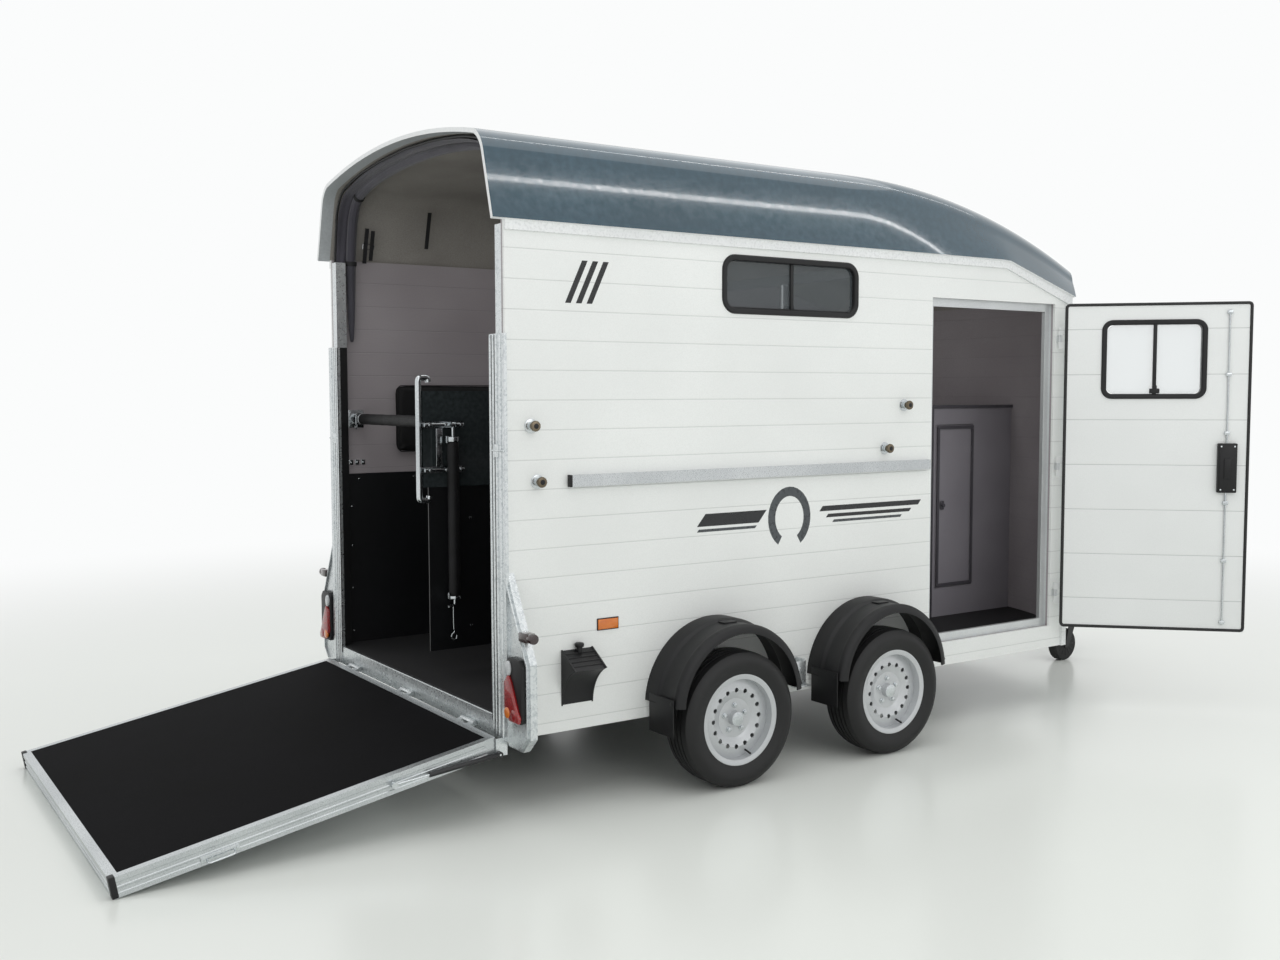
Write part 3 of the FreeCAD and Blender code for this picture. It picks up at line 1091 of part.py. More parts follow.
# Soft and rubber linings: kick boards, side pads and the rolled canvas in the rear arch
def linings():
    kick = box("kick", (s.post_depth + s.door_gap, s.kick_front), (-inner, -inner + s.kick_thick),
               (s.floor_top, s.kick_top))
    node(pair("kick_set", kick), "kick_panels")
    pad = box("pad", (s.pad_rear, s.pad_front), (-inner + s.canopy_gap / 2, -inner + s.pad_thick),
              (s.pad_bottom, s.pad_top))
    node(pair("pad_set", pad), "side_pads")
    gap = s.canopy_gap
    side = inner - gap
    tilt = s.roof_side_half - s.roof_thick - gap
    crown = s.roof_crown - s.roof_thick - gap
    shoulder = s.roof_shoulder - s.roof_thick - gap
    wide = s.roof_shoulder_half - s.roof_thick
    edge = s.wall_top
    lean = s.wall_top + s.roof_side_rise - s.roof_thick
    deep = s.canopy_wide
    rise = crown - shoulder
    radius = (wide * wide + rise * rise) / (rise * 2)
    ring = [(-side, s.canopy_foot), (-side + deep, s.canopy_foot), (-side + deep, edge),
            (-tilt + deep, lean - deep / 2), (-wide + deep, shoulder - deep, -(radius - deep)),
            (wide - deep, shoulder - deep), (tilt - deep, lean - deep / 2), (side - deep, edge),
            (side - deep, s.canopy_foot), (side, s.canopy_foot), (side, edge), (tilt, lean),
            (wide, shoulder, radius), (-wide, shoulder), (-tilt, lean), (-side, edge)]
    roll = panel("canopy_roll", "YZ_Plane", [ring], s.canopy_deep)
    node(roll, "rear_canopy", s.canopy_back, ZERO, ZERO)


# Tack locker across the front left corner; its door hangs in the side wall, towards the groom door
def locker():
    wall, side = s.locker_wall, -s.locker_side
    bent = bow_radius - s.wall_thick - s.running_gap
    end = bow_centre + root(bent * bent - side * side)
    front = panel("locker_side_panel", "XZ_Plane", [
        rectangle((s.locker_rear, end - s.running_gap), (s.floor_top, s.locker_top)),
        rectangle((s.locker_door_rear, s.locker_door_front), (s.locker_door_bottom, s.locker_door_top))], wall)
    back = box("locker_back_panel", (s.locker_rear, s.locker_rear + wall), (side, inner), (s.floor_top, s.locker_top))
    corner = bow_centre + root(bent * bent - inner * inner)
    top = panel("locker_top_panel", "XY_Plane",
                [[(s.locker_rear, side), (end, side, bent), (corner, inner), (s.locker_rear, inner)]], wall)
    hinge_x, radius, knuckle = s.locker_door_front, s.locker_hinge_radius, s.hinge_knuckle
    hinge_y = side - radius
    gap = s.door_gap / 2
    fixed = [place(front, ZERO, side), back, place(top, ZERO, ZERO, s.locker_top - wall)]
    leaf = [box("locker_leaf", (s.locker_door_rear + gap, s.locker_door_front - gap), (side, side + wall),
                (s.locker_door_bottom + gap, s.locker_door_top - gap))]
    heights = (s.locker_door_bottom + s.locker_hinge_inset, s.locker_door_top - s.locker_hinge_inset)
    for index, up in enumerate(heights):
        end = up + knuckle
        fixed.append(bar("locker_pin_%d" % index, (hinge_x, hinge_y, up), (hinge_x, hinge_y, end), radius))
        fixed.append(box("locker_plate_%d" % index, (hinge_x, hinge_x + s.hinge_leaf), (hinge_y, side), (up, end)))
        low = up - knuckle - s.running_gap
        end = low + knuckle
        leaf.append(bar("locker_knuckle_%d" % index, (hinge_x, hinge_y, low), (hinge_x, hinge_y, end), radius))
        leaf.append(box("locker_strap_%d" % index, (hinge_x - s.hinge_leaf, hinge_x),
                        (hinge_y, side + s.running_gap), (low, end)))
    node(fuse("locker_fuse", fixed), "tack_locker")
    node(fuse("locker_leaf_fuse", leaf), "locker_door")


# Drawbar: two box beams that meet under the overrun housing, and its mounting plate
def drawbar():
    pieces = []
    for side, word in ((-1, "right"), (1, "left")):
        rear, front, wide = s.beam_spread * side, s.beam_meet * side, s.beam_width / 2
        beam = panel("beam_" + word, "XY_Plane", [[(s.beam_rear, rear - wide), (s.beam_front, front - wide),
                                                   (s.beam_front, front + wide), (s.beam_rear, rear + wide)]],
                     s.beam_height)
        pieces.append(place(beam, ZERO, ZERO, beam_top - s.beam_height))
    level = s.ball_up
    long = (s.housing_rear, s.beam_front)
    pieces.append(box("drawbar_plate", long, (-s.plate_half, s.plate_half), (beam_top, beam_top + s.plate_thick)))
    pieces.append(box("drawbar_saddle", long, (-s.housing_radius, s.housing_radius), (beam_top + s.plate_thick, level)))
    past = s.bore_over
    seat = bar("housing_seat", (s.housing_rear - past, ZERO, level), (s.housing_front, ZERO, level),
               s.housing_radius)
    node(cut("drawbar_cut", fuse("drawbar_fuse", pieces), seat), "drawbar")
    housing = fuse("housing_fuse", [
        bar("housing_tube", (s.housing_rear, ZERO, level), (s.housing_front, ZERO, level), s.housing_radius),
        box("lever_post", (s.lever_at - s.housing_radius / 2, s.lever_at + s.housing_radius / 2),
            (-s.housing_radius, s.housing_radius), (level, level + s.housing_radius * 2))])
    node(housing, "overrun_housing")
    node(group("bellows_group", [cut("bellows_cut",
         bar("bellows_tube", (s.housing_front, ZERO, level), (s.bellows_front, ZERO, level), s.bellows_radius),
         bar("bellows_bore", (s.housing_front - past, ZERO, level), (s.bellows_front + past, ZERO, level),
             s.draw_tube_radius))]), "drawtube_bellows")
    head = cut("head_cut", fuse("head_fuse", [
        bar("draw_tube", (s.housing_front, ZERO, level), (s.ball_at - s.ball_radius, ZERO, level), s.draw_tube_radius),
        bar("head_barrel", (s.ball_at, ZERO, level - s.head_skirt), (s.ball_at, ZERO, level + s.head_radius),
            s.head_radius),
        box("head_handle", (s.bellows_front + s.handle_back, s.ball_at),
            (-s.draw_tube_radius / 2, s.draw_tube_radius / 2),
            (level + s.head_radius - s.sheet_metal, level + s.head_radius * 2))]),
        fuse("head_socket", [
            bar("socket_wall", (s.ball_at, ZERO, level - s.head_skirt - past), (s.ball_at, ZERO, level),
                s.ball_radius),
            place_sphere("socket_dome", (s.ball_at, ZERO, level), s.ball_radius)]))
    node(head, "coupling_head")
    lever = bar("lever_bar", (s.lever_at, s.lever_side, level + s.housing_radius * 2 - s.sheet_metal * 4),
                (s.lever_at + s.lever_length, s.lever_side,
                 level + s.housing_radius * 2 + s.lever_length / 3), s.lever_radius)
    grip = bar("lever_boss", (s.lever_at, s.housing_radius, level + s.housing_radius),
               (s.lever_at, s.lever_side + s.lever_radius, level + s.housing_radius), s.housing_radius / 2)
    riser = box("lever_riser", (s.lever_at - s.lever_radius, s.lever_at + s.lever_radius),
                (s.lever_side - s.lever_radius, s.lever_side + s.lever_radius),
                (level + s.housing_radius, level + s.housing_radius * 2))
    node(fuse("lever_fuse", [lever, grip, riser]), "handbrake_lever")


def place_sphere(name, centre, radius):
    thing = doc.addObject("Part::Sphere", name)
    bind(thing, "Radius", radius)
    return place(thing, *[as_size(value) for value in centre])


# Jockey wheel: a clamp on the beam, the outer tube in it, sliding stem, fork that swivels round it, wheel
def jockey():
    x, y = s.jack_at, -s.jack_out
    gap = s.running_gap
    pin = s.jack_pin_radius
    tube = s.jack_tube_radius
    wide = (x - s.clamp_radius, x + s.clamp_radius)
    far = y + s.clamp_reach
    low, top = s.clamp_bottom, s.clamp_bottom + s.clamp_height
    clamp = fuse("clamp_fuse", [
        bar("clamp_ring", (x, y, low), (x, y, top), s.clamp_radius),
        box("clamp_arm", wide, (y, far), (low, top)),
        box("clamp_foot", wide, (far - s.plate_thick, far), (beam_top, top))])
    node(cut("clamp_cut", clamp, bar("clamp_bore", (x, y, low - s.bore_over), (x, y, top + s.bore_over),
                                     tube + gap)), "jockey_clamp")
    crank_z = s.jack_tube_top + tube / 2
    crank_x = x - s.crank_length
    outer = fuse("jack_outer", [
        bar("jack_tube_bar", (x, y, s.jack_tube_bottom), (x, y, s.jack_tube_top), tube),
        bar("jack_crank", (x, y, crank_z), (crank_x, y, crank_z), pin),
        bar("jack_grip", (crank_x, y, crank_z - pin), (crank_x, y, crank_z + s.crank_grip), pin * 2),
        bar("jack_cap", (x, y, s.jack_tube_top), (x, y, s.jack_tube_top + tube), tube)])
    node(cut("jack_tube_cut", outer, bar("jack_bore", (x, y, s.jack_tube_bottom - s.bore_over),
                                         (x, y, s.jack_tube_top), s.jack_stem_radius + gap)), "jockey_tube")
    foot = s.jack_fork_top + gap
    stem = bar("jack_stem_bar", (x, y, foot), (x, y, s.jack_stem_top), s.jack_stem_radius)
    node(cut("jack_stem_cut", stem, bar("jack_stem_bore", (x, y, foot - s.bore_over), (x, y, foot + tube + gap),
                                        pin + gap)), "jockey_stem")
    axle_x = x - s.jack_trail
    up = s.jack_wheel_radius
    wide = s.jack_wheel_width / 2
    cheek = wide + s.door_gap
    plates = [box("fork_top", (x - tube, x + tube), (y - cheek, y + cheek),
                  (s.jack_fork_top - s.sheet_metal, s.jack_fork_top)),
              bar("fork_pin", (x, y, s.jack_fork_top - s.sheet_metal), (x, y, s.jack_fork_top + tube), pin),
              bar("fork_axle", (axle_x, y - cheek, up), (axle_x, y + cheek, up), pin)]
    for side in (-1, 1):
        near, far = y + cheek * side, y + (cheek + s.sheet_metal) * side
        arm = panel("fork_cheek_%d" % side, "XZ_Plane",
                    [[(axle_x - pin * 2, up - pin * 2), (axle_x + pin * 2, up - pin * 2), (x + tube, s.jack_fork_top),
                      (x - tube, s.jack_fork_top)]], s.sheet_metal)
        plates.append(place(arm, ZERO, far if side < 0 else near))
    node(fuse("fork_fuse", plates), "jockey_fork")
    rim = up - pin
    body = turned("jack_wheel_body", [(pin + gap, -wide), (rim, -wide), (up, pin - wide), (up, wide - pin), (rim, wide),
                                      (pin + gap, wide)])
    node(body, "jockey_wheel", axle_x, y, up)


chassis()
axle("axle_rear", s.axle_rear_at)
axle("axle_front", axle_front_at)
for place_word, place_at in (("rear", s.axle_rear_at), ("front", axle_front_at)):
    for side_word, side_sign in (("right", -1), ("left", 1)):
        wheel(place_word + "_" + side_word, place_at, side_sign)
mudguards()
floor()
side_walls()
front_wall()
roof()
rails()
rear_frame()
ramp()
struts()
lamps()
chocks()
side_windows()
groom_door()
partition()
bars()
linings()
locker()
drawbar()
jockey()
doc.recompute()

# Every feature and every finished piece is sound before anything is written
for thing in doc.Objects:
    if "Invalid" in thing.State or "Error" in thing.State:
        raise RuntimeError("%s (%s) is %s" % (thing.Name, thing.Label, thing.State))
for thing in nodes:
    if thing.Shape.isNull() or not thing.Shape.isValid():
        raise RuntimeError("%s has no sound shape" % thing.Label)
for thing in nodes:
    thing.Shape.exportStep("parts/%s.step" % thing.Label)
    print(thing.Label, len(thing.Shape.Solids), round(thing.Shape.Volume / 1e6, 3))
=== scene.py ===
"""Two-horse trailer with its ramp down and its groom door open: the finish of every piece, in metres."""

import math

import bpy
from mathutils import Euler, Matrix, Vector


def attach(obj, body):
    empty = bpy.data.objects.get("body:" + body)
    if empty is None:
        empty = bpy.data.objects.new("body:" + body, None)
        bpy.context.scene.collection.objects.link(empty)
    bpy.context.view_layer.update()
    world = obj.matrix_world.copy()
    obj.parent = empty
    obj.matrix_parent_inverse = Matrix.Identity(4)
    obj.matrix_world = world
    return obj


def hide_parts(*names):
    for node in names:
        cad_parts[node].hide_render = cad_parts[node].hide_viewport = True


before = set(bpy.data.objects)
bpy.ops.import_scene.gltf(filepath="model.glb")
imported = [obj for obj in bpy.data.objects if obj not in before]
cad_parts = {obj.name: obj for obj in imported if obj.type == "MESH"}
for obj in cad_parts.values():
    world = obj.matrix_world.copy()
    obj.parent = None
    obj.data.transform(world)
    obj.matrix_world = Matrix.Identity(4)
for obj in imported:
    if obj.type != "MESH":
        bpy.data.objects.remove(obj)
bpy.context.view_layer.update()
bpy.ops.object.select_all(action="DESELECT")

# The studio: a pale floor that runs out to white, soft light from all round and a little inside the
# stalls, and long strip lamps overhead that draw the two bright lines along the roof.
AHEAD = 1.787
ASIDE = 0.250


def spot(x, y, z):
    """A point measured from the body's rear face, its centre plane and the ground."""
    return Vector((x - AHEAD, y + ASIDE, z))


def linear(colour):
    """A hex sRGB colour as linear RGBA."""
    parts = [int(colour[index:index + 2], 16) / 255 for index in (1, 3, 5)]
    return [part / 12.92 if part <= 0.04045 else ((part + 0.055) / 1.055) ** 2.4 for part in parts] + [1.0]


def add(tree, kind, inputs=(), **settings):
    """One node with its settings; inputs are pairs of a socket and its value or the socket joined to it."""
    made = tree.nodes.new(kind)
    for name, value in settings.items():
        setattr(made, name, value)
    for name, value in inputs:
        if isinstance(value, bpy.types.NodeSocket):
            tree.links.new(value, made.inputs[name])
        else:
            made.inputs[name].default_value = value
    return made


def maths(tree, operation, *values):
    """One step of arithmetic on sockets or numbers."""
    return add(tree, "ShaderNodeMath", enumerate(values), operation=operation).outputs[0]


def empty_material(name):
    """A material with its output and the object's own coordinates."""
    material = bpy.data.materials.new(name)
    material.use_nodes = True
    tree = material.node_tree
    tree.nodes.clear()
    output = tree.nodes.new("ShaderNodeOutputMaterial")
    return material, tree, output, tree.nodes.new("ShaderNodeTexCoord").outputs["Object"]


BACKGROUND = linear("#fbfcfc")
SKY_LIGHT = linear("#f6f7f7")
SKY_STRENGTH = 0.70
world = bpy.data.worlds.new("studio")
bpy.context.scene.world = world
world.use_nodes = True
tree = world.node_tree
tree.nodes.clear()
path = add(tree, "ShaderNodeLightPath").outputs
seen = maths(tree, "MAXIMUM", path["Is Camera Ray"], path["Is Glossy Ray"])
seen = maths(tree, "MAXIMUM", seen, path["Is Transmission Ray"])
shown = add(tree, "ShaderNodeBackground", [("Color", BACKGROUND), ("Strength", 1.0)])
lighting = add(tree, "ShaderNodeBackground", [("Color", SKY_LIGHT), ("Strength", SKY_STRENGTH)])
mixed = add(tree, "ShaderNodeMixShader", [(0, seen), (1, lighting.outputs[0]), (2, shown.outputs[0])])
add(tree, "ShaderNodeOutputWorld", [("Surface", mixed.outputs[0])])

FLOOR_RADIUS = 60
# the floor turns into plain background between these two distances from the middle
FLOOR_FADES = (3.6, 9.5)
bpy.ops.mesh.primitive_circle_add(vertices=96, radius=FLOOR_RADIUS, fill_type="NGON", location=(0, 0, 0))
floor = bpy.context.object
floor.name = "studio_floor"
material, tree, output, place = empty_material("sealed_studio_floor")
length = add(tree, "ShaderNodeVectorMath", [(0, place)], operation="LENGTH")
away = add(tree, "ShaderNodeMapRange", [("Value", length.outputs["Value"]), ("From Min", FLOOR_FADES[0]),
                                        ("From Max", FLOOR_FADES[1])], interpolation_type="SMOOTHSTEP")
ground = add(tree, "ShaderNodeBsdfPrincipled", [("Base Color", linear("#f0f3ee")), ("Roughness", 0.22),
                                                 ("Specular IOR Level", 0.35)])
glow = add(tree, "ShaderNodeEmission", [("Color", BACKGROUND), ("Strength", 1.0)])
mixed = add(tree, "ShaderNodeMixShader", [(0, away.outputs[0]), (1, ground.outputs[0]), (2, glow.outputs[0])])
tree.links.new(mixed.outputs[0], output.inputs["Surface"])
floor.data.materials.append(material)

# name, centre, size along x and y, watts, tilt about x in degrees
for name, centre, size, watts, tilt in (
        ("ceiling_light", (0.0, 0.0, 6.5), (9.0, 7.0), 135, 0),
        ("camera_side_light", (-1.0, -8.0, 4.5), (8.0, 3.0), 90, 58),
        ("stall_light", (-0.2, 0.25, 2.62), (2.6, 0.5), 7, 0),
        ("strip_lamp_side", (0.5, -3.2, 4.75), (9.5, 0.035), 10, 35),
        ("strip_lamp_top", (0.5, -0.7, 5.4), (9.5, 0.04), 12, 0)):
    lamp = bpy.data.lights.new(name, "AREA")
    lamp.shape = "RECTANGLE"
    lamp.size, lamp.size_y = size
    lamp.energy = watts
    holder = bpy.data.objects.new(name, lamp)
    holder.location = centre
    holder.rotation_euler = (math.radians(tilt), 0, 0)
    bpy.context.scene.collection.objects.link(holder)

CAMERA_AT = spot(-2.3255, -5.3023, 1.6728)
YAW = 56.0097
PITCH = 3.9042
ROLL = -0.1345
optics = bpy.data.cameras.new("photo_camera")
optics.sensor_width = 36
optics.lens = 35.85
optics.clip_end = 200
camera = bpy.data.objects.new("photo_camera", optics)
bpy.context.scene.collection.objects.link(camera)
aim = Euler((math.radians(90 - PITCH), 0, math.radians(YAW - 90))).to_matrix().to_4x4()
camera.matrix_world = Matrix.Translation(CAMERA_AT) @ aim @ Matrix.Rotation(math.radians(ROLL), 4, "Z")
bpy.context.scene.camera = camera
bpy.context.scene.view_settings.view_transform = "Standard"

# Chassis, axles, rear frame and drawbar: steel dipped in molten zinc. It sets as a skin of dull and
# bright crystals some millimetres wide, which the eye reads as a faint patchwork.
def dress(material, *names):
    """A CAD node takes this material on all of its slots."""
    for name in names:
        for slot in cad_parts[name].material_slots:
            slot.material = material


def noise(tree, place, scale, detail=2.0):
    """Cloudy noise, from 0 to 1."""
    return add(tree, "ShaderNodeTexNoise", [("Vector", place), ("Scale", scale), ("Detail", detail)]).outputs[0]


def tones(tree, value, dark, light, low=0.0, high=1.0):
    """A colour between two hex tones, as the value goes from low to high."""
    ramp = add(tree, "ShaderNodeValToRGB", [(0, value)])
    for element, position, colour in zip(ramp.color_ramp.elements, (low, high), (dark, light)):
        element.position = position
        element.color = linear(colour)
    return ramp.outputs[0]


def mapped(tree, value, start, end, low=0.0, high=1.0):
    """From start to end, as the value goes from low to high."""
    return add(tree, "ShaderNodeMapRange", [("Value", value), ("From Min", low), ("From Max", high),
                                            ("To Min", start), ("To Max", end)]).outputs[0]


def raised(tree, height, depth, strength=1.0, invert=False):
    """Fine relief of this depth."""
    return add(tree, "ShaderNodeBump", [("Height", height), ("Distance", depth), ("Strength", strength)],
               invert=invert).outputs[0]


def shaded(tree, output, inputs):
    """The surface shader, joined to the material's output."""
    shader = add(tree, "ShaderNodeBsdfPrincipled", inputs)
    tree.links.new(shader.outputs[0], output.inputs["Surface"])


def zinc_skin(name, crystal):
    """Hot-dip zinc: cells of two greys, each with its own gloss, over slow clouding."""
    material, tree, output, place = empty_material(name)
    cells = add(tree, "ShaderNodeTexVoronoi", [("Vector", place), ("Scale", 1 / crystal)])
    grey = add(tree, "ShaderNodeSeparateColor", [(0, cells.outputs["Color"])]).outputs
    both = maths(tree, "ADD", grey[0], noise(tree, place, 5.0, 5.0))
    shaded(tree, output, [("Base Color", tones(tree, both, "#b4babd", "#d6dadb", 0.3, 1.0)), ("Metallic", 0.85),
                          ("Roughness", mapped(tree, grey[1], 0.26, 0.38))])
    return material


galvanised = zinc_skin("hot_dip_galvanised_steel", 0.008)
dress(galvanised, "chassis_frame", "axle_rear", "axle_front", "rear_frame", "drawbar", "jockey_clamp",
      "jockey_tube")


def surface(name, dark, light, grain, roughness, relief=0.0, metallic=0.0, drift=0.35, sockets=()):
    """A plain finish: two close tones that drift over a hand's width, a fine grain in gloss and relief."""
    material, tree, output, place = empty_material(name)
    slow = noise(tree, place, 1 / drift, 3.0)
    fine = noise(tree, place, 1 / grain)
    both = maths(tree, "MULTIPLY", slow, fine)
    inputs = [("Base Color", tones(tree, both, dark, light, 0.12, 0.42)), ("Metallic", metallic),
              ("Roughness", mapped(tree, fine, max(0.02, roughness - 0.06), roughness + 0.06, 0.3, 0.7))]
    if relief:
        inputs.append(("Normal", raised(tree, fine, relief, 0.6)))
    shaded(tree, output, inputs + list(sockets))
    return material


# Wheels: a pressed steel rim sprayed silver, five bolts and a zinc dust cap, a rubber valve, and a
# moulded tyre with five ribs, four grooves and cross cuts.
silver_paint = surface("silver_sprayed_steel", "#b9bcbe", "#d0d2d4", 0.0015, 0.34, 0.00004, 0.35)
bright_zinc = surface("bright_zinc_plate", "#b5babd", "#d8dcdd", 0.004, 0.22, 0.0, 1.0)
tyre_rubber = surface("moulded_tyre_rubber", "#0b0b0c", "#131314", 0.003, 0.62, 0.0002)
dress(silver_paint, "rim_rear_right", "rim_rear_left", "rim_front_right", "rim_front_left")


def alone(piece):
    """Only this piece is selected and active."""
    bpy.ops.object.select_all(action="DESELECT")
    piece.select_set(True)
    bpy.context.view_layer.objects.active = piece


def settle(piece, body, slot, material, angle=35, place=None):
    """Applies the modifiers and the place, smooths by angle, and hangs the piece on its body."""
    alone(piece)
    for modifier in list(piece.modifiers):
        bpy.ops.object.modifier_apply(modifier=modifier.name)
    if place is not None:
        piece.data.transform(place)
    bpy.ops.object.transform_apply(location=True, rotation=True, scale=True)
    bpy.ops.object.shade_smooth_by_angle(angle=math.radians(angle))
    if material is not None:
        piece.data.materials.clear()
        piece.data.materials.append(material)
    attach(piece, body)
    return piece


def loop_of(name, points):
    """A closed loop of edges through these points, left in edit mode with all of it selected."""
    bpy.ops.object.select_all(action="DESELECT")
    bpy.ops.mesh.primitive_circle_add(vertices=len(points), radius=1, fill_type="NOTHING")
    piece = bpy.context.object
    piece.name = name
    for vertex, point in zip(piece.data.vertices, points):
        vertex.co = point
    bpy.ops.object.mode_set(mode="EDIT")
    bpy.ops.mesh.select_all(action="SELECT")
    return piece


def spun(name, points, centre, axis, turn, steps):
    """A closed section swept round an axis; a full turn is welded, a part turn gets its ends filled."""
    piece = loop_of(name, points)
    bpy.ops.mesh.spin(steps=steps, angle=turn, center=centre, axis=axis)
    bpy.ops.mesh.select_all(action="SELECT")
    if abs(turn) > 6.28:
        bpy.ops.mesh.remove_doubles(threshold=0.00001)
    else:
        bpy.ops.mesh.fill_holes(sides=0)
    bpy.ops.mesh.select_all(action="SELECT")
    bpy.ops.mesh.normals_make_consistent(inside=False)
    bpy.ops.object.mode_set(mode="OBJECT")
    return piece


def slab(name, points, push):
    """A flat outline pushed out into a solid."""
    piece = loop_of(name, points)
    bpy.ops.mesh.edge_face_add()
    bpy.ops.mesh.extrude_region_move(TRANSFORM_OT_translate={"value": push})
    bpy.ops.mesh.select_all(action="SELECT")
    bpy.ops.mesh.normals_make_consistent(inside=False)
    bpy.ops.object.mode_set(mode="OBJECT")
    return piece


def rounding(piece, width, segments=2):
    """A bevel that settle applies, on the sharp edges."""
    bevel = piece.modifiers.new("edges", "BEVEL")
    bevel.width = width
    bevel.segments = segments
    bevel.limit_method = "ANGLE"
    bevel.angle_limit = math.radians(30)
    return piece


def block(name, low, high, edge=0.0015):
    """A box between two corners with its edges broken."""
    low, high = Vector(low), Vector(high)
    bpy.ops.object.select_all(action="DESELECT")
    bpy.ops.mesh.primitive_cube_add(size=1, location=(low + high) / 2)
    piece = bpy.context.object
    piece.name = name
    piece.scale = high - low
    bpy.ops.object.transform_apply(location=True, rotation=True, scale=True)
    return rounding(piece, edge)


def rod(name, start, end, radius, edge=0.0008, sides=24):
    """A round bar between two points with its ends broken."""
    start, end = Vector(start), Vector(end)
    bpy.ops.object.select_all(action="DESELECT")
    bpy.ops.mesh.primitive_cylinder_add(vertices=sides, radius=radius, depth=(end - start).length)
    piece = bpy.context.object
    piece.name = name
    turn = (end - start).to_track_quat("Z", "Y").to_matrix().to_4x4()
    piece.matrix_world = Matrix.Translation((start + end) / 2) @ turn
    bpy.ops.object.transform_apply(location=True, rotation=True, scale=True)
    return rounding(piece, edge)


def copied(source, name, matrix):
    """A copy with its own mesh, moved or mirrored by a matrix."""
    twin = source.copy()
    twin.data = source.data.copy()
    twin.name = name
    bpy.context.scene.collection.objects.link(twin)
    twin.data.transform(matrix)
    if matrix.determinant() < 0:
        twin.data.flip_normals()
    return twin


def joined(name, pieces):
    """Several shapes as one piece, each with its modifiers applied first."""
    for piece in pieces:
        alone(piece)
        for modifier in list(piece.modifiers):
            bpy.ops.object.modifier_apply(modifier=modifier.name)
    for piece in pieces:
        piece.select_set(True)
    bpy.context.view_layer.objects.active = pieces[0]
    if len(pieces) > 1:
        bpy.ops.object.join()
    pieces[0].name = name
    return pieces[0]


OTHER_SIDE = (Matrix.Translation((0, ASIDE, 0)) @ Matrix.Diagonal((1, -1, 1, 1))
              @ Matrix.Translation((0, -ASIDE, 0)))


def both_sides(piece, body, slot, material, angle, node=None):
    """Settles a piece and its mirror image; node is the CAD node that the two stand for."""
    joined(piece.name, [piece])
    here, there = ("left", "right") if "left" in piece.name else ("right", "left")
    pair = (piece, copied(piece, piece.name.replace(here, there), OTHER_SIDE))
    for each in pair:
        settle(each, body, slot, material, angle)
        if node:
            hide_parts(node)
    return pair


AXLE_AT = {"rear": 0.998, "front": 1.899}
TRACK_HALF = 1.058
WHEEL_RADIUS = 0.291
TYRE_SEAT = 0.1785
# radius, distance from the tyre's middle plane: from the bead over the side wall to the shoulder
TYRE_SIDE = ((TYRE_SEAT, 0.062), (0.186, 0.0705), (0.194, 0.0725), (0.197, 0.0765), (0.209, 0.0815),
             (0.226, 0.0885), (0.240, 0.0920), (0.252, 0.0922), (0.263, 0.0885), (0.272, 0.0830),
             (0.2805, 0.0765), (0.2865, 0.0700))
TYRE_INNER = 0.02
CROWN_FALL = 0.0014
GROOVES = (0.0385, 0.0125)
GROOVE_HALF = 0.0035
GROOVE_DEPTH = 0.008
TREAD_STEPS = 144


def tyre_section():
    """Half the tyre's outline with its grooves, then the other half mirrored."""
    outer = list(TYRE_SIDE)
    for groove in GROOVES:
        crown = WHEEL_RADIUS - CROWN_FALL * (groove / TYRE_SIDE[-1][1]) ** 2
        outer += [(crown, groove + GROOVE_HALF + 0.0008), (crown - GROOVE_DEPTH, groove + GROOVE_HALF),
                  (crown - GROOVE_DEPTH, groove - GROOVE_HALF), (crown, groove - GROOVE_HALF - 0.0008)]
    half = [(TYRE_SEAT, TYRE_INNER)] + outer
    return half + [(radius, -side) for radius, side in reversed(half)]


section = [Vector((radius, side, 0)) for radius, side in tyre_section()]
tyre = spun("tyre_master", section, (0, 0, 0), (0, 1, 0), math.tau, TREAD_STEPS)
alone(tyre)
for face in tyre.data.polygons:
    middle = face.center
    radius = math.hypot(middle.x, middle.z)
    turn = math.degrees(math.atan2(middle.z, middle.x)) % 360
    step = int(turn / 360 * TREAD_STEPS)
    across = abs(middle.y)
    shoulder = across > GROOVES[0] + 0.005 and radius > 0.283
    rib = GROOVES[1] + 0.005 < across < GROOVES[0] - 0.005 and radius > 0.288
    face.select = (shoulder and step % 3 == 0) or (rib and (step + (2 if middle.y > 0 else 0)) % 4 == 0)
bpy.ops.object.mode_set(mode="EDIT")
bpy.ops.mesh.select_mode(type="FACE")
bpy.ops.mesh.inset(thickness=0.0012, depth=0)
bpy.ops.mesh.extrude_region_shrink_fatten(TRANSFORM_OT_shrink_fatten={"value": -0.005})
bpy.ops.mesh.select_mode(type="VERT")
bpy.ops.object.mode_set(mode="OBJECT")

HUB_FACE = 0.030
BOLT_CIRCLE = 0.056
fittings = []
for index in range(5):
    turn = math.tau * index / 5 + 0.3
    x, z = BOLT_CIRCLE * math.cos(turn), BOLT_CIRCLE * math.sin(turn)
    fittings.append(rod("wheel_bolt", (x, HUB_FACE, z), (x, HUB_FACE + 0.012, z), 0.0098, 0.0018, 6))
    fittings.append(rod("bolt_seat", (x, HUB_FACE, z), (x, HUB_FACE + 0.0035, z), 0.0125, 0.001, 20))
fittings.append(rod("dust_cap", (0, HUB_FACE, 0), (0, HUB_FACE + 0.0275, 0), 0.0305, 0.005, 32))
bolts = joined("bolts_master", fittings)
valve = joined("valve_master", [
    rod("valve_stem", (-0.050, 0.036, -0.142), (-0.053, 0.066, -0.151), 0.0042, 0.001, 12),
    rod("valve_cap", (-0.053, 0.066, -0.151), (-0.054, 0.074, -0.154), 0.0048, 0.001, 12)])

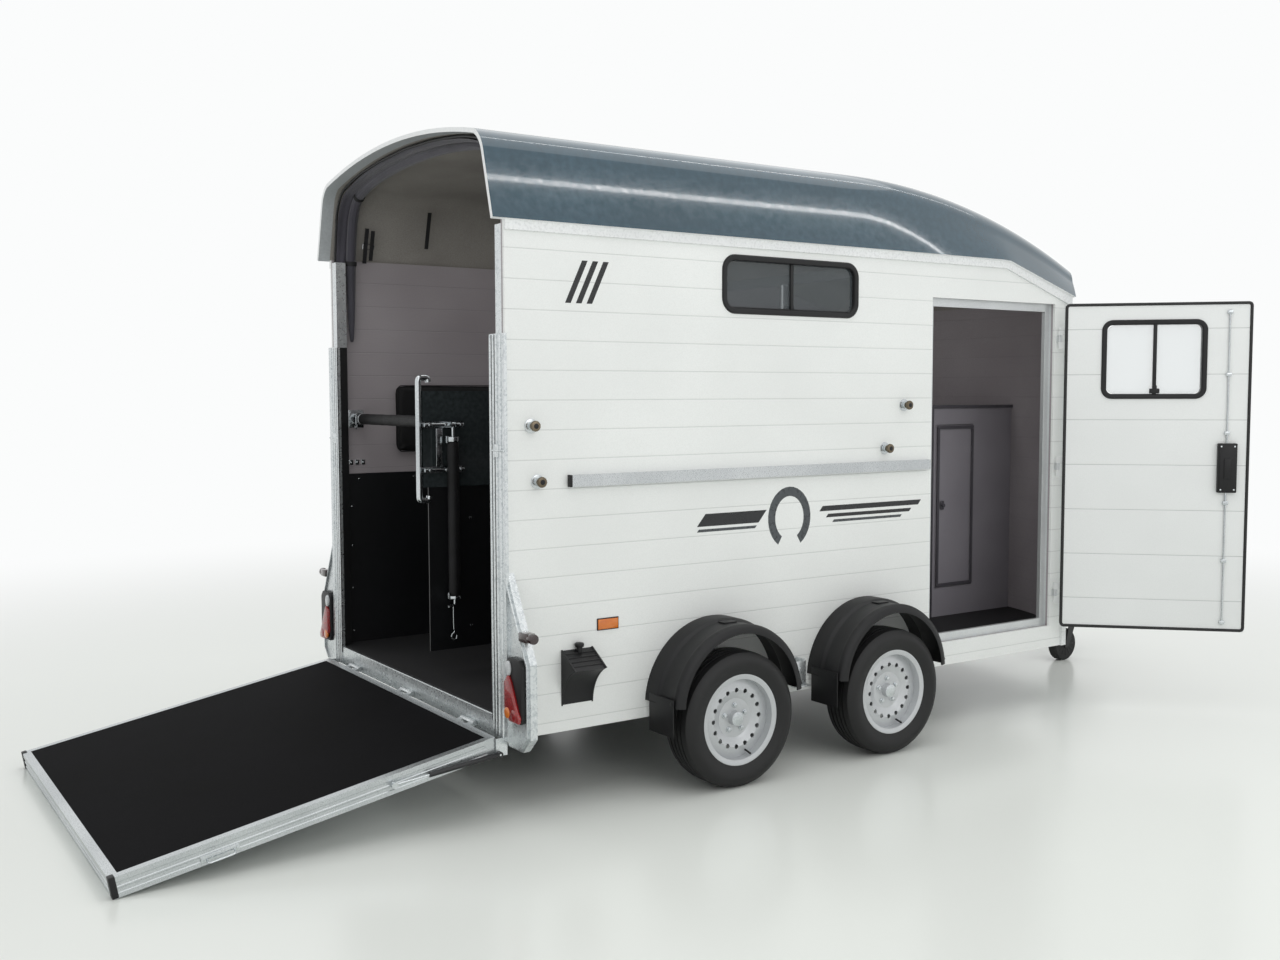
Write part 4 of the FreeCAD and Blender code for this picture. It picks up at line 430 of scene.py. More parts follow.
for axle, x in AXLE_AT.items():
    for word, side in (("right", -1), ("left", 1)):
        name = axle + "_" + word
        centre = Matrix.Translation(spot(x, TRACK_HALF * side, WHEEL_RADIUS))
        face_out = centre @ Matrix.Rotation(math.pi if side < 0 else 0, 4, "Z")
        body = "wheel_" + name
        piece = settle(copied(tyre, "treaded_tyre_" + name, face_out), body, "tyre", tyre_rubber, 30)
        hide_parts("tyre_" + name)
        settle(copied(bolts, "wheel_bolts_" + name, face_out), body, "zinc", bright_zinc, 40)
        settle(copied(valve, "valve_" + name, face_out), body, "tyre", tyre_rubber, 40)
for master in (tyre, bolts, valve):
    bpy.data.objects.remove(master)

# Side brackets: two galvanised webs with a face and an eye, bolted under each wall between the
# wheels.
bracket = []
for x in (1.408, 1.478):
    bracket.append(block("bracket_web", spot(x, -0.985, 0.352), spot(x + 0.006, -0.9255, 0.470), 0.002))
bracket.append(block("bracket_face", spot(1.402, -1.020, 0.350), spot(1.492, -0.983, 0.358), 0.002))
bracket.append(block("bracket_back", spot(1.404, -0.990, 0.352), spot(1.488, -0.984, 0.462), 0.002))
bracket.append(rod("bracket_eye", spot(1.446, -0.9950, 0.415), spot(1.446, -0.9840, 0.415), 0.022, 0.002, 28))
both_sides(joined("side_bracket_right", bracket), "trailer_body", "galvanised_steel", galvanised, 30)

# Mudguards: black moulded plastic, a broad arch with a raised band beside the wall, a rolled outer
# bead, a rubber flap behind each wheel and a bolt at each foot.
black_plastic = surface("moulded_black_plastic", "#111112", "#1c1c1e", 0.0022, 0.46, 0.00012,
                        sockets=[("Specular IOR Level", 0.35)])
WALL_FACE = 0.925
GUARD_CENTRE = 0.359
GUARD_RADIUS = 0.351
GUARD_BOTTOM = 0.385
GUARD_FOOT = math.asin((GUARD_BOTTOM - GUARD_CENTRE) / GUARD_RADIUS)
# distance out from the wall, radius: over the outside and back along the inside
GUARD_SECTION = ((0.001, 0.3505), (0.080, 0.3505), (0.088, 0.3470), (0.096, 0.3385), (0.104, 0.3360),
                 (0.176, 0.3350), (0.186, 0.3385), (0.199, 0.3405), (0.211, 0.3370), (0.220, 0.3270),
                 (0.2245, 0.3120), (0.2245, 0.3010), (0.2190, 0.3010), (0.2150, 0.3140), (0.2080, 0.3260),
                 (0.198, 0.3320), (0.186, 0.3300), (0.176, 0.3285), (0.100, 0.3295), (0.090, 0.3330),
                 (0.080, 0.3430), (0.001, 0.3430))
guards = []
for x in AXLE_AT.values():
    points = [spot(x + radius * math.cos(GUARD_FOOT), -WALL_FACE - out,
                   GUARD_CENTRE + radius * math.sin(GUARD_FOOT)) for out, radius in GUARD_SECTION]
    arch = spun("guard_arch", points, spot(x, 0, GUARD_CENTRE), (0, 1, 0), math.pi - 2 * GUARD_FOOT, 40)
    flap_at = x - GUARD_RADIUS + 0.002
    flap = rounding(slab("guard_flap", [spot(flap_at, -0.955, 0.262), spot(flap_at, -1.128, 0.262),
                                        spot(flap_at, -1.128, 0.420), spot(flap_at, -0.955, 0.420)],
                         (0.005, 0, 0)), 0.0012)
    feet = [rod("guard_bolt", spot(x + side * 0.338, -1.115, 0.402),
                spot(x + side * GUARD_RADIUS, -1.115, 0.402), 0.008) for side in (-1, 1)]
    lug = block("guard_lug", spot(x - 0.035, -1.062, 0.6930), spot(x + 0.035, -1.018, 0.7000), 0.003)
    guards += [arch, flap, lug] + feet
both_sides(joined("mudguards_right", guards), "trailer_body", "black_trim", black_plastic, 38, "mudguards")

# Side walls: hollow aluminium planks that lock together, coated pale silver outside and greyed with a
# speckled coat inside. The joints show as hairlines every 117 mm.
PLANK = 0.1174
PLANK_FROM = 0.589 - 2 * PLANK
# faces nearer to the centre plane than this are inside
INSIDE_HALF = 0.912


def planks(name, outside, inside=None, depth=0.0006, pitch=PLANK, start=PLANK_FROM, lead=0.5):
    """Coated planks with level joints; inside is a second colour for the faces within the walls."""
    material, tree, output, place = empty_material(name)
    axes = add(tree, "ShaderNodeSeparateXYZ", [(0, place)]).outputs
    count = maths(tree, "DIVIDE", maths(tree, "SUBTRACT", axes[2], start), pitch)
    off = maths(tree, "ABSOLUTE", maths(tree, "SUBTRACT", maths(tree, "FRACT", count), 0.5))
    joint = mapped(tree, off, 0.0, 1.0, 0.5 - 0.0026 / pitch, 0.5 - 0.0006 / pitch)
    speck = maths(tree, "MULTIPLY", noise(tree, place, 260.0, 3.0), noise(tree, place, 1.7))
    colour = tones(tree, speck, *outside, 0.12, 0.40)
    if inside:
        inner = tones(tree, speck, *inside, 0.14, 0.38)
        across = maths(tree, "ABSOLUTE", maths(tree, "SUBTRACT", axes[1], ASIDE))
        within = maths(tree, "LESS_THAN", across, INSIDE_HALF)
        colour = add(tree, "ShaderNodeMix", [(0, within), (6, colour), (7, inner)], data_type="RGBA").outputs[2]
    line = maths(tree, "MULTIPLY", joint, lead)
    lined = add(tree, "ShaderNodeMix", [(0, line), (6, colour), (7, linear("#77797a"))], data_type="RGBA")
    shaded(tree, output, [("Base Color", lined.outputs[2]), ("Roughness", 0.42),
                          ("Normal", raised(tree, joint, depth, invert=True))])
    return material


wall_planks = planks("silver_coated_planks", ("#e9ebe9", "#f2f4f2"), ("#979093", "#aaa4a7"), lead=0.3)
dress(wall_planks, "side_wall_right", "side_wall_left")
front_coat = planks("coated_front_panel", ("#e6e8e7", "#eff1f0"), ("#979093", "#aaa4a7"), lead=0.2)
dress(front_coat, "front_wall")
dress(surface("white_coated_profile", "#e2e4e4", "#eff1f1", 0.01, 0.3), "top_rails")
dress(surface("brushed_rub_rail", "#b4b8ba", "#cfd2d3", 0.003, 0.3, 0.00003, 0.9), "rub_rails")

# Roof: one glossy moulded shell, blue-grey outside, with a speckled flock inside, a pale lip behind the
# walls and a white cut edge. It is drawn as a grid of sections, thickened inwards.
ROOF_REAR = -0.060
ROOF_HALF = 0.950
ROOF_THICK = 0.018
NOSE_START = 1.900
NOSE_RADIUS = 3.800
BOW_CENTRE = 2.3816
BOW_RADIUS = 1.3934
BODY_LENGTH = 3.390
FRONT_TOP = 2.180
KNEE = 2.870
WALL_TOP = 2.340
EDGE_FALL = (WALL_TOP - FRONT_TOP) / (BODY_LENGTH - KNEE)
SHOULDER = ((0.878, 2.600), (0.800, 2.695))
SHOULDER_RADIUS = 0.140
CROWN = 2.780


def arc(start, end, radius, count):
    """Points of an arc that bulges to the left of the way from start to end, without its first point."""
    start, end = Vector(start), Vector(end)
    chord = end - start
    left = Vector((-chord.y, chord.x)).normalized()
    centre = (start + end) / 2 - left * math.sqrt(radius ** 2 - chord.length_squared / 4)
    first = start - centre
    whole = first.angle_signed(end - centre)
    turned = []
    for index in range(1, count + 1):
        turn = Matrix.Rotation(-whole * index / count, 2)
        turned.append(centre + turn @ first)
    return turned


def roof_half_section():
    """(y, height) of the points from the right shoulder up to the crown."""
    crown_rise = CROWN - SHOULDER[1][1]
    wide = SHOULDER[1][0]
    crown_radius = (wide * wide + crown_rise * crown_rise) / (2 * crown_rise)
    points = arc((-SHOULDER[0][0], SHOULDER[0][1]), (-SHOULDER[1][0], SHOULDER[1][1]), SHOULDER_RADIUS, 8)
    for index in range(1, 13):
        y = -wide * (1 - index / 12)
        points.append(Vector((y, CROWN - crown_radius + math.sqrt(crown_radius ** 2 - y * y))))
    return points


over = roof_half_section()
SIDE_STEPS = 6
# y, height or None on the flat side, share of the way up that side
columns = [(-ROOF_HALF + (ROOF_HALF - SHOULDER[0][0]) * index / SIDE_STEPS, None, index / SIDE_STEPS)
           for index in range(SIDE_STEPS + 1)]
columns += [(point.x, point.y, 1.0) for point in over]
columns += [(-y, z, share) for y, z, share in reversed(columns[:-1])]
AFT_ROWS, NOSE_ROWS, SKIRT_ROWS = 33, 26, 4
rows = AFT_ROWS + NOSE_ROWS + SKIRT_ROWS


def roof_point(y, level, share, row):
    """One point of the shell: along the body, over the nose, then down the front skirt."""
    front = BOW_CENTRE + math.sqrt(BOW_RADIUS ** 2 - y * y)
    if row <= AFT_ROWS:
        x = ROOF_REAR + (NOSE_START - ROOF_REAR) * row / AFT_ROWS
    else:
        x = NOSE_START + (front - NOSE_START) * min(1.0, (row - AFT_ROWS) / NOSE_ROWS)
    run = max(0.0, x - NOSE_START)
    drop = NOSE_RADIUS - math.sqrt(NOSE_RADIUS ** 2 - run ** 2)
    edge = WALL_TOP - max(0.0, x - KNEE) * EDGE_FALL
    top = SHOULDER[0][1] - drop if level is None else level - drop
    z = edge + (top - edge) * share if level is None else top
    down = max(0, row - AFT_ROWS - NOSE_ROWS) / SKIRT_ROWS
    return spot(x, y, z + (min(z, FRONT_TOP) - z) * down)


bpy.ops.object.select_all(action="DESELECT")
bpy.ops.mesh.primitive_grid_add(x_subdivisions=rows, y_subdivisions=len(columns) - 1, size=2)
shell = bpy.context.object
shell.name = "roof_moulding"
for index, vertex in enumerate(shell.data.vertices):
    column, row = divmod(index, rows + 1)
    y, level, share = columns[column]
    vertex.co = roof_point(y, level, share, row)
gelcoat = surface("blue_grey_gelcoat", "#203f4d", "#284959", 0.03, 0.09, 0.00003, 0.0, 0.5,
                  [("Coat Weight", 0.7), ("Coat Roughness", 0.03)])
flock = surface("speckled_roof_lining", "#8b8781", "#a9a59f", 0.004, 0.8, 0.0002)
cut_edge = surface("white_cut_edge", "#e6e8e8", "#f2f4f4", 0.01, 0.35)
alone(shell)
bpy.ops.object.mode_set(mode="EDIT")
bpy.ops.mesh.select_all(action="SELECT")
bpy.ops.mesh.remove_doubles(threshold=0.0001)
bpy.ops.object.mode_set(mode="OBJECT")
middle = shell.data.polygons[len(shell.data.polygons) // 2]
if middle.normal.z < 0:
    shell.data.flip_normals()
for coat in (gelcoat, flock, cut_edge):
    shell.data.materials.append(coat)
wall = shell.modifiers.new("thickness", "SOLIDIFY")
wall.thickness = ROOF_THICK
wall.offset = -1
wall.use_even_offset = True
wall.use_quality_normals = True
wall.material_offset = 1
wall.material_offset_rim = 2
settle(shell, "trailer_body", "roof_shell", None, 32)
shell.data.materials.append(surface("pale_grey_inner_lip", "#b4b9bb", "#c3c8ca", 0.01, 0.35))
for face in shell.data.polygons:
    if face.material_index == 1 and face.center.x < spot(0, 0, 0).x:
        face.material_index = 3
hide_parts("roof")

# Floor and kick boards: plywood under a sheet of fine-grained black rubber. Blind rivets in two rows
# hold the kick boards to the planks.
floor_rubber = surface("grained_floor_rubber", "#0d0d0f", "#161618", 0.004, 0.62, 0.0003)
kick_rubber = surface("smooth_kick_board_rubber", "#08090b", "#101114", 0.003, 0.42, 0.0001)
dress(floor_rubber, "floor")
dress(kick_rubber, "kick_panels", "partition_curtain")
rivets = [rod("kick_rivet", spot(x, 0.893, 1.240), spot(x, 0.8895, 1.240), 0.0055, 0.0015, 12)
          for x in (0.12, 0.42, 0.72, 1.02, 1.32, 1.62, 1.92)]
rivets += [rod("kick_rivet", spot(0.080, 0.893, z), spot(0.080, 0.8895, z), 0.0055, 0.0015, 12)
           for z in (0.46, 0.68, 0.90, 1.10)]
both_sides(joined("kick_rivets_left", rivets), "trailer_body", "zinc", bright_zinc, 40)

# Ramp: extruded aluminium channels round a panel, a black rubber mat let into its top, plastic caps on
# its far corners and a wire catch under each long side.
RAMP_SLOPE = -10.141327
RAMP = Matrix.Translation(spot(-0.024, 0, 0.330)) @ Matrix.Rotation(math.radians(RAMP_SLOPE), 4, "Y")
RAMP_TIP = -1.480
RAMP_ROOT = -0.070
ACROSS = Matrix.Diagonal((1, -1, 1, 1))
ramp_aluminium = surface("extruded_ramp_aluminium", "#b1b6b8", "#cfd3d4", 0.0025, 0.3, 0.00003, 0.8)
mat_rubber = surface("ribbed_mat_rubber", "#050506", "#0a0a0d", 0.003, 0.8, 0.0003,
                     sockets=[("Specular IOR Level", 0.08)])
dress(ramp_aluminium, "ramp_panel")
dress(mat_rubber, "ramp_mat")
# distance out from the channel's side, height: three lips with two grooves between them
CHANNEL = ((0, 0.004), (0.0040, 0.004), (0.0040, -0.0150), (0.0012, -0.0175), (0.0012, -0.0290),
           (0.0040, -0.0315), (0.0040, -0.0365), (0.0012, -0.0390), (0.0012, -0.0510), (0.0040, -0.0535),
           (0.0040, -0.0695), (0, -0.0695))
edge = slab("ramp_edge", [(RAMP_TIP, -0.9050 - out, z) for out, z in CHANNEL], (RAMP_ROOT - RAMP_TIP, 0, 0))
tip = slab("ramp_tip", [(RAMP_TIP - out, -0.900, z) for out, z in CHANNEL], (0, 1.800, 0))
channels = joined("ramp_channels", [edge, copied(edge, "ramp_edge_left", ACROSS), tip])
settle(channels, "ramp", "ramp_metal", ramp_aluminium, 25, RAMP)
corner = rounding(slab("ramp_cap", [(RAMP_TIP - 0.006, -0.911, -0.069), (RAMP_TIP + 0.016, -0.911, -0.069),
                                    (RAMP_TIP + 0.016, -0.878, -0.069), (RAMP_TIP - 0.006, -0.878, -0.069)],
                       (0, 0, 0.076)), 0.003, 3)
corners = joined("ramp_corner_caps", [corner, copied(corner, "ramp_cap_left", ACROSS)])
settle(corners, "ramp", "black_trim", black_plastic, 35, RAMP)


def eased(points, radius, steps=5):
    """A bent path: the corners between its straight runs rounded."""
    points = [Vector(point) for point in points]
    path = [points[0]]
    for before, corner, after in zip(points, points[1:], points[2:]):
        reach = min(radius, (before - corner).length * 0.49, (after - corner).length * 0.49)
        start = corner + (before - corner).normalized() * reach
        end = corner + (after - corner).normalized() * reach
        for step in range(steps + 1):
            share = step / steps
            path.append((1 - share) ** 2 * start + 2 * share * (1 - share) * corner + share ** 2 * end)
    return path + [points[-1]]


def lattice(name, rows, columns, where):
    """A grid whose corner (row, column) lies at where(row, column); where it closes, its edges are merged."""
    bpy.ops.object.select_all(action="DESELECT")
    bpy.ops.mesh.primitive_grid_add(x_subdivisions=columns, y_subdivisions=rows, size=1)
    piece = bpy.context.object
    piece.name = name
    for index, vertex in enumerate(piece.data.vertices):
        vertex.co = where(*divmod(index, columns + 1))
    bpy.ops.object.mode_set(mode="EDIT")
    bpy.ops.mesh.select_all(action="SELECT")
    bpy.ops.mesh.remove_doubles(threshold=0.00005)
    bpy.ops.mesh.normals_make_consistent(inside=False)
    bpy.ops.object.mode_set(mode="OBJECT")
    return piece


def along(path):
    """Each point of a path with the two directions across it, carried on without a twist."""
    frames = []
    side = None
    for index, point in enumerate(path):
        way = (path[min(len(path) - 1, index + 1)] - path[max(0, index - 1)]).normalized()
        side = way.orthogonal() if side is None else side - way * side.dot(way)
        side.normalize()
        frames.append((point, side.copy(), way.cross(side)))
    return frames


def pipe(name, path, radius, sides=12):
    """A round bar bent along a path, with closed ends."""
    frames = along([Vector(point) for point in path])
    last = len(frames) + 1

    def where(row, column):
        point, side, up = frames[min(max(row - 1, 0), len(frames) - 1)]
        if row in (0, last):
            return point
        turn = math.tau * column / sides
        return point + radius * (side * math.cos(turn) + up * math.sin(turn))

    return lattice(name, last, sides, where)


catch = joined("ramp_catch", [
    pipe("catch_wire", eased([(-1.170, -0.906, -0.047), (-1.172, -0.934, -0.058), (-1.075, -0.934, -0.058),
                              (-1.073, -0.906, -0.047)], 0.012), 0.0032),
    block("catch_plate", (-1.190, -0.9115, -0.060), (-1.055, -0.9085, -0.034), 0.001),
    rod("catch_rivet", (-1.183, -0.9115, -0.047), (-1.183, -0.9145, -0.047), 0.005, 0.0015, 12),
    rod("catch_rivet", (-1.062, -0.9115, -0.047), (-1.062, -0.9145, -0.047), 0.005, 0.0015, 12)])
catch = joined("ramp_catches", [catch, copied(catch, "ramp_catch_left", ACROSS)])
settle(catch, "ramp", "zinc", bright_zinc, 40, RAMP)

# Rear frame: galvanised posts with rolled ribs and a rubber seal on their inner edges, gussets with a
# second fold inside the first, and a short pin across each post for the raised ramp's catch.
seal_rubber = surface("extruded_seal_rubber", "#0f0f10", "#191a1b", 0.003, 0.55, 0.0001)
POST_FOOT = 0.315
POST_HEIGHT = 1.585
post = []
for y in (-0.826, -0.850, -0.874, -0.905):
    post.append(slab("post_rib", [spot(-0.011, y - 0.0060, POST_FOOT), spot(-0.0165, y - 0.0035, POST_FOOT),
                                  spot(-0.0165, y + 0.0035, POST_FOOT), spot(-0.011, y + 0.0060, POST_FOOT)],
                     (0, 0, POST_HEIGHT)))
fold = [(-0.930, 0.940), (-1.090, 0.634), (-1.090, 0.354), (-1.041, 0.304), (-1.036, 0.310), (-1.084, 0.357),
        (-1.084, 0.632), (-0.930, 0.928)]
post.append(slab("gusset_fold", [spot(0.001, y, z) for y, z in fold], (-0.010, 0, 0)))
fold = [(-0.942, 0.300), (-0.936, 0.300), (-0.936, 0.930), (-0.942, 0.918)]
post.append(slab("gusset_rib", [spot(0.001, y, z) for y, z in fold], (-0.008, 0, 0)))
post.append(block("pin_plate", spot(-0.016, -0.893, 1.425), spot(-0.011, -0.857, 1.475), 0.002))
post.append(rod("post_pin", spot(-0.0145, -0.832, 1.450), spot(-0.0145, -0.936, 1.450), 0.0040, 0.001, 16))
both_sides(joined("rear_post_right", post), "trailer_body", "galvanised_steel", galvanised, 30)
SEAL_FOOT = 0.372
SEAL_SECTION = ((-0.0150, -0.8170), (-0.0040, -0.8150), (0.0500, -0.8480), (0.0500, -0.8500),
                (0.0030, -0.8200), (-0.0150, -0.8195))
lip = [slab("post_seal", [spot(x, y, SEAL_FOOT) for x, y in SEAL_SECTION], (0, 0, 1.530))]
for y in (-0.838, -0.862):
    groove = [spot(-0.0115, y - 0.0028, POST_FOOT), spot(-0.0140, y - 0.0028, POST_FOOT),
              spot(-0.0140, y + 0.0028, POST_FOOT), spot(-0.0115, y + 0.0028, POST_FOOT)]
    lip.append(slab("post_groove", groove, (0, 0, POST_HEIGHT)))
both_sides(joined("post_seal_right", lip), "trailer_body", "wall_lining", seal_rubber, 30)
treads = []
for x in (-0.010, 0.012, 0.034):
    line = [spot(x, -0.812, 0.3935), spot(x + 0.006, -0.812, 0.3935),
            spot(x + 0.005, -0.812, 0.3965), spot(x + 0.001, -0.812, 0.3965)]
    treads.append(slab("sill_line", line, (0, 1.624, 0)))
settle(joined("rear_sill_lines", treads), "trailer_body", "galvanised_steel", galvanised, 30)

# Marker lamps and side reflectors: a dark red stub on rubber at the edge of each gusset, and an amber
# reflector in a thin frame low on each wall. Moulded prisms catch the light in fine steps, painted into
# the lenses' colour as lighter bands.


# a wave texture repeats every 0.314 m at scale 1
WAVE = 0.314


def lens(name, dark, light, step):
    """Clear-coated acrylic over moulded prisms, its colour painted lighter along each prism as glints."""
    material, tree, output, place = empty_material(name)
    prisms = add(tree, "ShaderNodeTexWave", [("Vector", place), ("Scale", WAVE / step)],
                 bands_direction="Z").outputs["Fac"]
    # the colour follows the prisms: painted glints, lighter along each band; the bump below is the real relief
    both = maths(tree, "MULTIPLY", prisms, noise(tree, place, 28.0))
    shaded(tree, output, [("Base Color", tones(tree, both, dark, light, 0.0, 0.55)), ("Roughness", 0.16),
                          ("IOR", 1.49), ("Coat Weight", 0.8), ("Normal", raised(tree, prisms, 0.0006, 0.5))])
    return material


red_lens = lens("red_acrylic_lens", "#6d0a0d", "#b3161b", 0.005)
amber_lens = lens("amber_acrylic_lens", "#c25a06", "#f08a1c", 0.004)
clear_lens = lens("clear_acrylic_lens", "#a9adb0", "#e4e7e8", 0.004)
marker_lens = lens("dark_marker_lens", "#1c0e0f", "#341617", 0.004)
stub = joined("marker_right", [
    block("marker_body", spot(-0.016, -1.106, 0.726), spot(0.024, -1.040, 0.762), 0.004),
    rod("marker_end", spot(0.004, -1.100, 0.744), spot(0.004, -1.134, 0.744), 0.0205, 0.006, 28)])
both_sides(stub, "trailer_body", "lamp", marker_lens, 35)
amber = block("amber_reflector_right", spot(0.415, -0.9325, 0.707), spot(0.512, -0.9245, 0.749), 0.0022)
both_sides(amber, "trailer_body", "lamp", amber_lens, 35)
bezel = block("reflector_frame_right", spot(0.411, -0.9285, 0.703), spot(0.516, -0.9247, 0.753), 0.0015)
both_sides(bezel, "trailer_body", "black_trim", black_plastic, 35)

# Tail lamps: a black moulded case on the gusset, a red wedge that widens downwards, a clear oval at its
# top and two round lenses, amber and red, at its foot.
CASE = ((-0.955, 0.420), (-0.968, 0.406), (-1.068, 0.406), (-1.082, 0.420), (-1.082, 0.628), (-1.060, 0.654),
        (-0.972, 0.654), (-0.955, 0.638))
WEDGE = ((-0.958, 0.452), (-0.958, 0.560), (-0.986, 0.590), (-1.010, 0.560), (-1.062, 0.455), (-1.078, 0.432),
         (-1.072, 0.410), (-1.000, 0.409))
case = rounding(slab("lamp_case_right", [spot(-0.001, y, z) for y, z in CASE], (-0.024, 0, 0)), 0.005, 3)
wedge = rounding(slab("lamp_red_right", [spot(-0.021, y, z) for y, z in WEDGE], (-0.017, 0, 0)), 0.006, 3)
low_red = rod("lamp_low", spot(-0.030, -1.038, 0.438), spot(-0.0405, -1.038, 0.438), 0.0235, 0.005, 32)
OVAL_AT = 0.612
oval = joined("lamp_clear_right", [rod("lamp_clear", spot(-0.020, -0.979, OVAL_AT),
                                       spot(-0.0355, -0.979, OVAL_AT), 0.0200, 0.006, 32)])
oval.data.transform(Matrix.Translation((0, 0, OVAL_AT)) @ Matrix.Diagonal((1, 1, 1.5, 1))
                    @ Matrix.Translation((0, 0, -OVAL_AT)))
ember = rod("lamp_amber_right", spot(-0.030, -0.985, 0.440), spot(-0.0410, -0.985, 0.440), 0.0225, 0.005, 32)
wedge = joined("lamp_red_right", [wedge, low_red])
for piece, material in ((case, black_plastic), (wedge, red_lens), (oval, clear_lens), (ember, amber_lens)):
    both_sides(piece, "trailer_body", "lamp", material, 35, "tail_lamps")

# Wheel chocks: black moulded wedges with a hollow face, pushed into holders on the walls behind the
# mudguards; a ribbed top slopes down from a round grip.
wedge_side = [Vector((-0.926, 0.640)), Vector((-1.033, 0.572))]
wedge_side += arc((-1.033, 0.572), (-0.926, 0.418), 0.170, 12)
chock = [rounding(slab("chock_wedge", [spot(0.246, *point) for point in wedge_side], (0.140, 0, 0)), 0.003)]
cheek_side = [Vector((-0.9255, 0.643)), Vector((-1.0365, 0.5735))]
cheek_side += arc((-1.0365, 0.5735), (-0.9255, 0.4135), 0.176, 12)
for x in (0.2405, 0.3835):
    cheek = slab("chock_cheek", [spot(x, *point) for point in cheek_side], (0.008, 0, 0))
    chock.append(rounding(cheek, 0.0015))
for share in (0.2, 0.4, 0.6, 0.8):
    y, z = -0.926 - 0.107 * share, 0.640 - 0.068 * share
    low, high = spot(0.247, y - 0.003, z - 0.002), spot(0.385, y + 0.003, z + 0.0035)
    chock.append(block("chock_rib", low, high, 0.001))
chock.append(rod("chock_neck", spot(0.316, -0.9440, 0.625), spot(0.316, -0.9440, 0.652), 0.0120, 0.001))
chock.append(rod("chock_knob", spot(0.316, -0.9440, 0.650), spot(0.316, -0.9440, 0.668), 0.0190, 0.005))
both_sides(joined("wheel_chock_right", chock), "trailer_body", "black_trim", black_plastic, 32, "wheel_chocks")

# Bar sockets: zinc cups inside the walls, and outside a rounded plate with a knurled release knob on a
# stem for each bar height.
bronze = surface("passivated_knob_bronze", "#5d5346", "#857a68", 0.002, 0.3, 0.00004, 0.9)
REAR_BAR = (0.111, 1.545)
BREAST_BAR = (2.190, 1.408)
RIDGES = 20
RIDGE_RADIUS = 0.0203
plates, knobs, hubs = [], [], []
for x, z in (REAR_BAR, (0.138, 1.325), (2.155, 1.612), (2.030, 1.408)):
    plates.append(rod("knob_plate", spot(x, -0.9245, z), spot(x, -0.9290, z), 0.0290, 0.0015, 32))
    plates.append(rod("knob_boss", spot(x, -0.9280, z), spot(x, -0.9460, z), 0.0170, 0.003, 24))
    plates.append(rod("knob_stem", spot(x, -0.9440, z), spot(x, -0.9560, z), 0.0080, 0.0005, 16))
    knobs.append(rod("knob_disc", spot(x, -0.9540, z), spot(x, -0.9700, z), 0.0205, 0.0035, 32))
    hubs.append(rod("knob_centre", spot(x, -0.9690, z), spot(x, -0.9712, z), 0.0105, 0.0008, 20))
    for index in range(RIDGES):
        turn = math.tau * index / RIDGES
        low = spot(x + RIDGE_RADIUS * math.cos(turn), -0.9570, z + RIDGE_RADIUS * math.sin(turn))
        knobs.append(rod("knob_ridge", low, low + Vector((0, -0.0105, 0)), 0.0014, 0.0004, 6))
CUP_SECTION = ((0.0215, 0), (0.0300, 0), (0.0300, 0.0330), (0.0285, 0.0345), (0.0230, 0.0345), (0.0215, 0.0330))
for x, z in (REAR_BAR, BREAST_BAR):
    cup = [Vector((radius, depth, 0)) for radius, depth in CUP_SECTION]
    cup = spun("socket_cup", cup, (0, 0, 0), (0, 1, 0), math.tau, 32)
    cup.data.transform(Matrix.Translation(spot(x, -0.9005, z)))
    plates.append(cup)
    plate = [spot(x + side * 0.040, -0.9005, z + up * 0.045)
             for side, up in ((-1, -1), (1, -1), (1, 1), (-1, 1))]
    plates.append(rounding(slab("socket_plate", plate, (0, 0.003, 0)), 0.0012))
for name, pieces, slot, material in (("bar_sockets_right", plates, "zinc", bright_zinc),
                                     ("knob_discs_right", knobs, "zinc", bronze),
                                     ("knob_centres_right", hubs, "black_trim", black_plastic)):
    both_sides(joined(name, pieces), "trailer_body", slot, material, 35, "bar_sockets")

# Rub rails: brushed aluminium strips, riveted level along each wall, with a black moulded cap pushed
# on the rear end.
cap = block("rub_rail_cap_right", spot(0.2755, -0.9515, 1.2985), spot(0.2860, -0.9250, 1.3475), 0.003)
both_sides(cap, "trailer_body", "black_trim", black_plastic, 35)

# Side windows: a black moulded ring clipped through the wall round smoked acrylic, with a slim divider
# and a catch in its middle.


def ring_frame(name, low, high, corner, section, put, steps=8):
    """A closed profile of (inset, height) carried round a rounded rectangle; put places a point."""
    turns = []
    centres = ((high[0] - corner, high[1] - corner), (low[0] + corner, high[1] - corner),
               (low[0] + corner, low[1] + corner), (high[0] - corner, low[1] + corner))
    for quarter, centre in enumerate(centres):
        for step in range(steps + 1):
            turns.append((centre, math.radians(90 * (quarter + step / steps))))
    turns.append(turns[0])

    def where(row, column):
        centre, turn = turns[row]
        inset, height = section[column % len(section)]
        reach = corner - inset
        return put(centre[0] + reach * math.cos(turn), centre[1] + reach * math.sin(turn), height)

    return lattice(name, len(turns) - 1, len(section), where)


def wall_face(x, z, height):
    """A point that stands this high outside the right wall."""
    return spot(x, -WALL_FACE - height, z)


WINDOW_RING = ((0.000, 0.000), (0.001, 0.004), (0.005, 0.0080), (0.014, 0.0085), (0.023, 0.0070),
               (0.0262, 0.0030), (0.0265, -0.0260), (0.0250, -0.0300), (0.004, -0.0300), (0.002, -0.0270),
               (0.002, -0.0252), (0.0240, -0.0252), (0.0245, -0.0020), (0.001, -0.0005))
ring = ring_frame("window_ring", (1.053, 2.014), (1.851, 2.270), 0.070, WINDOW_RING, wall_face)
parts = [ring,
         block("window_divider", spot(1.4440, -0.9215, 2.036), spot(1.4600, -0.9090, 2.248), 0.0015),
         block("window_catch", spot(1.4280, -0.9080, 2.043), spot(1.4760, -0.8935, 2.062), 0.003),
         block("window_track", spot(1.0850, -0.9185, 2.0390), spot(1.8190, -0.9100, 2.0450), 0.001)]
both_sides(joined("window_ring_right", parts), "trailer_body", "black_trim", black_plastic, 35, "window_frames")


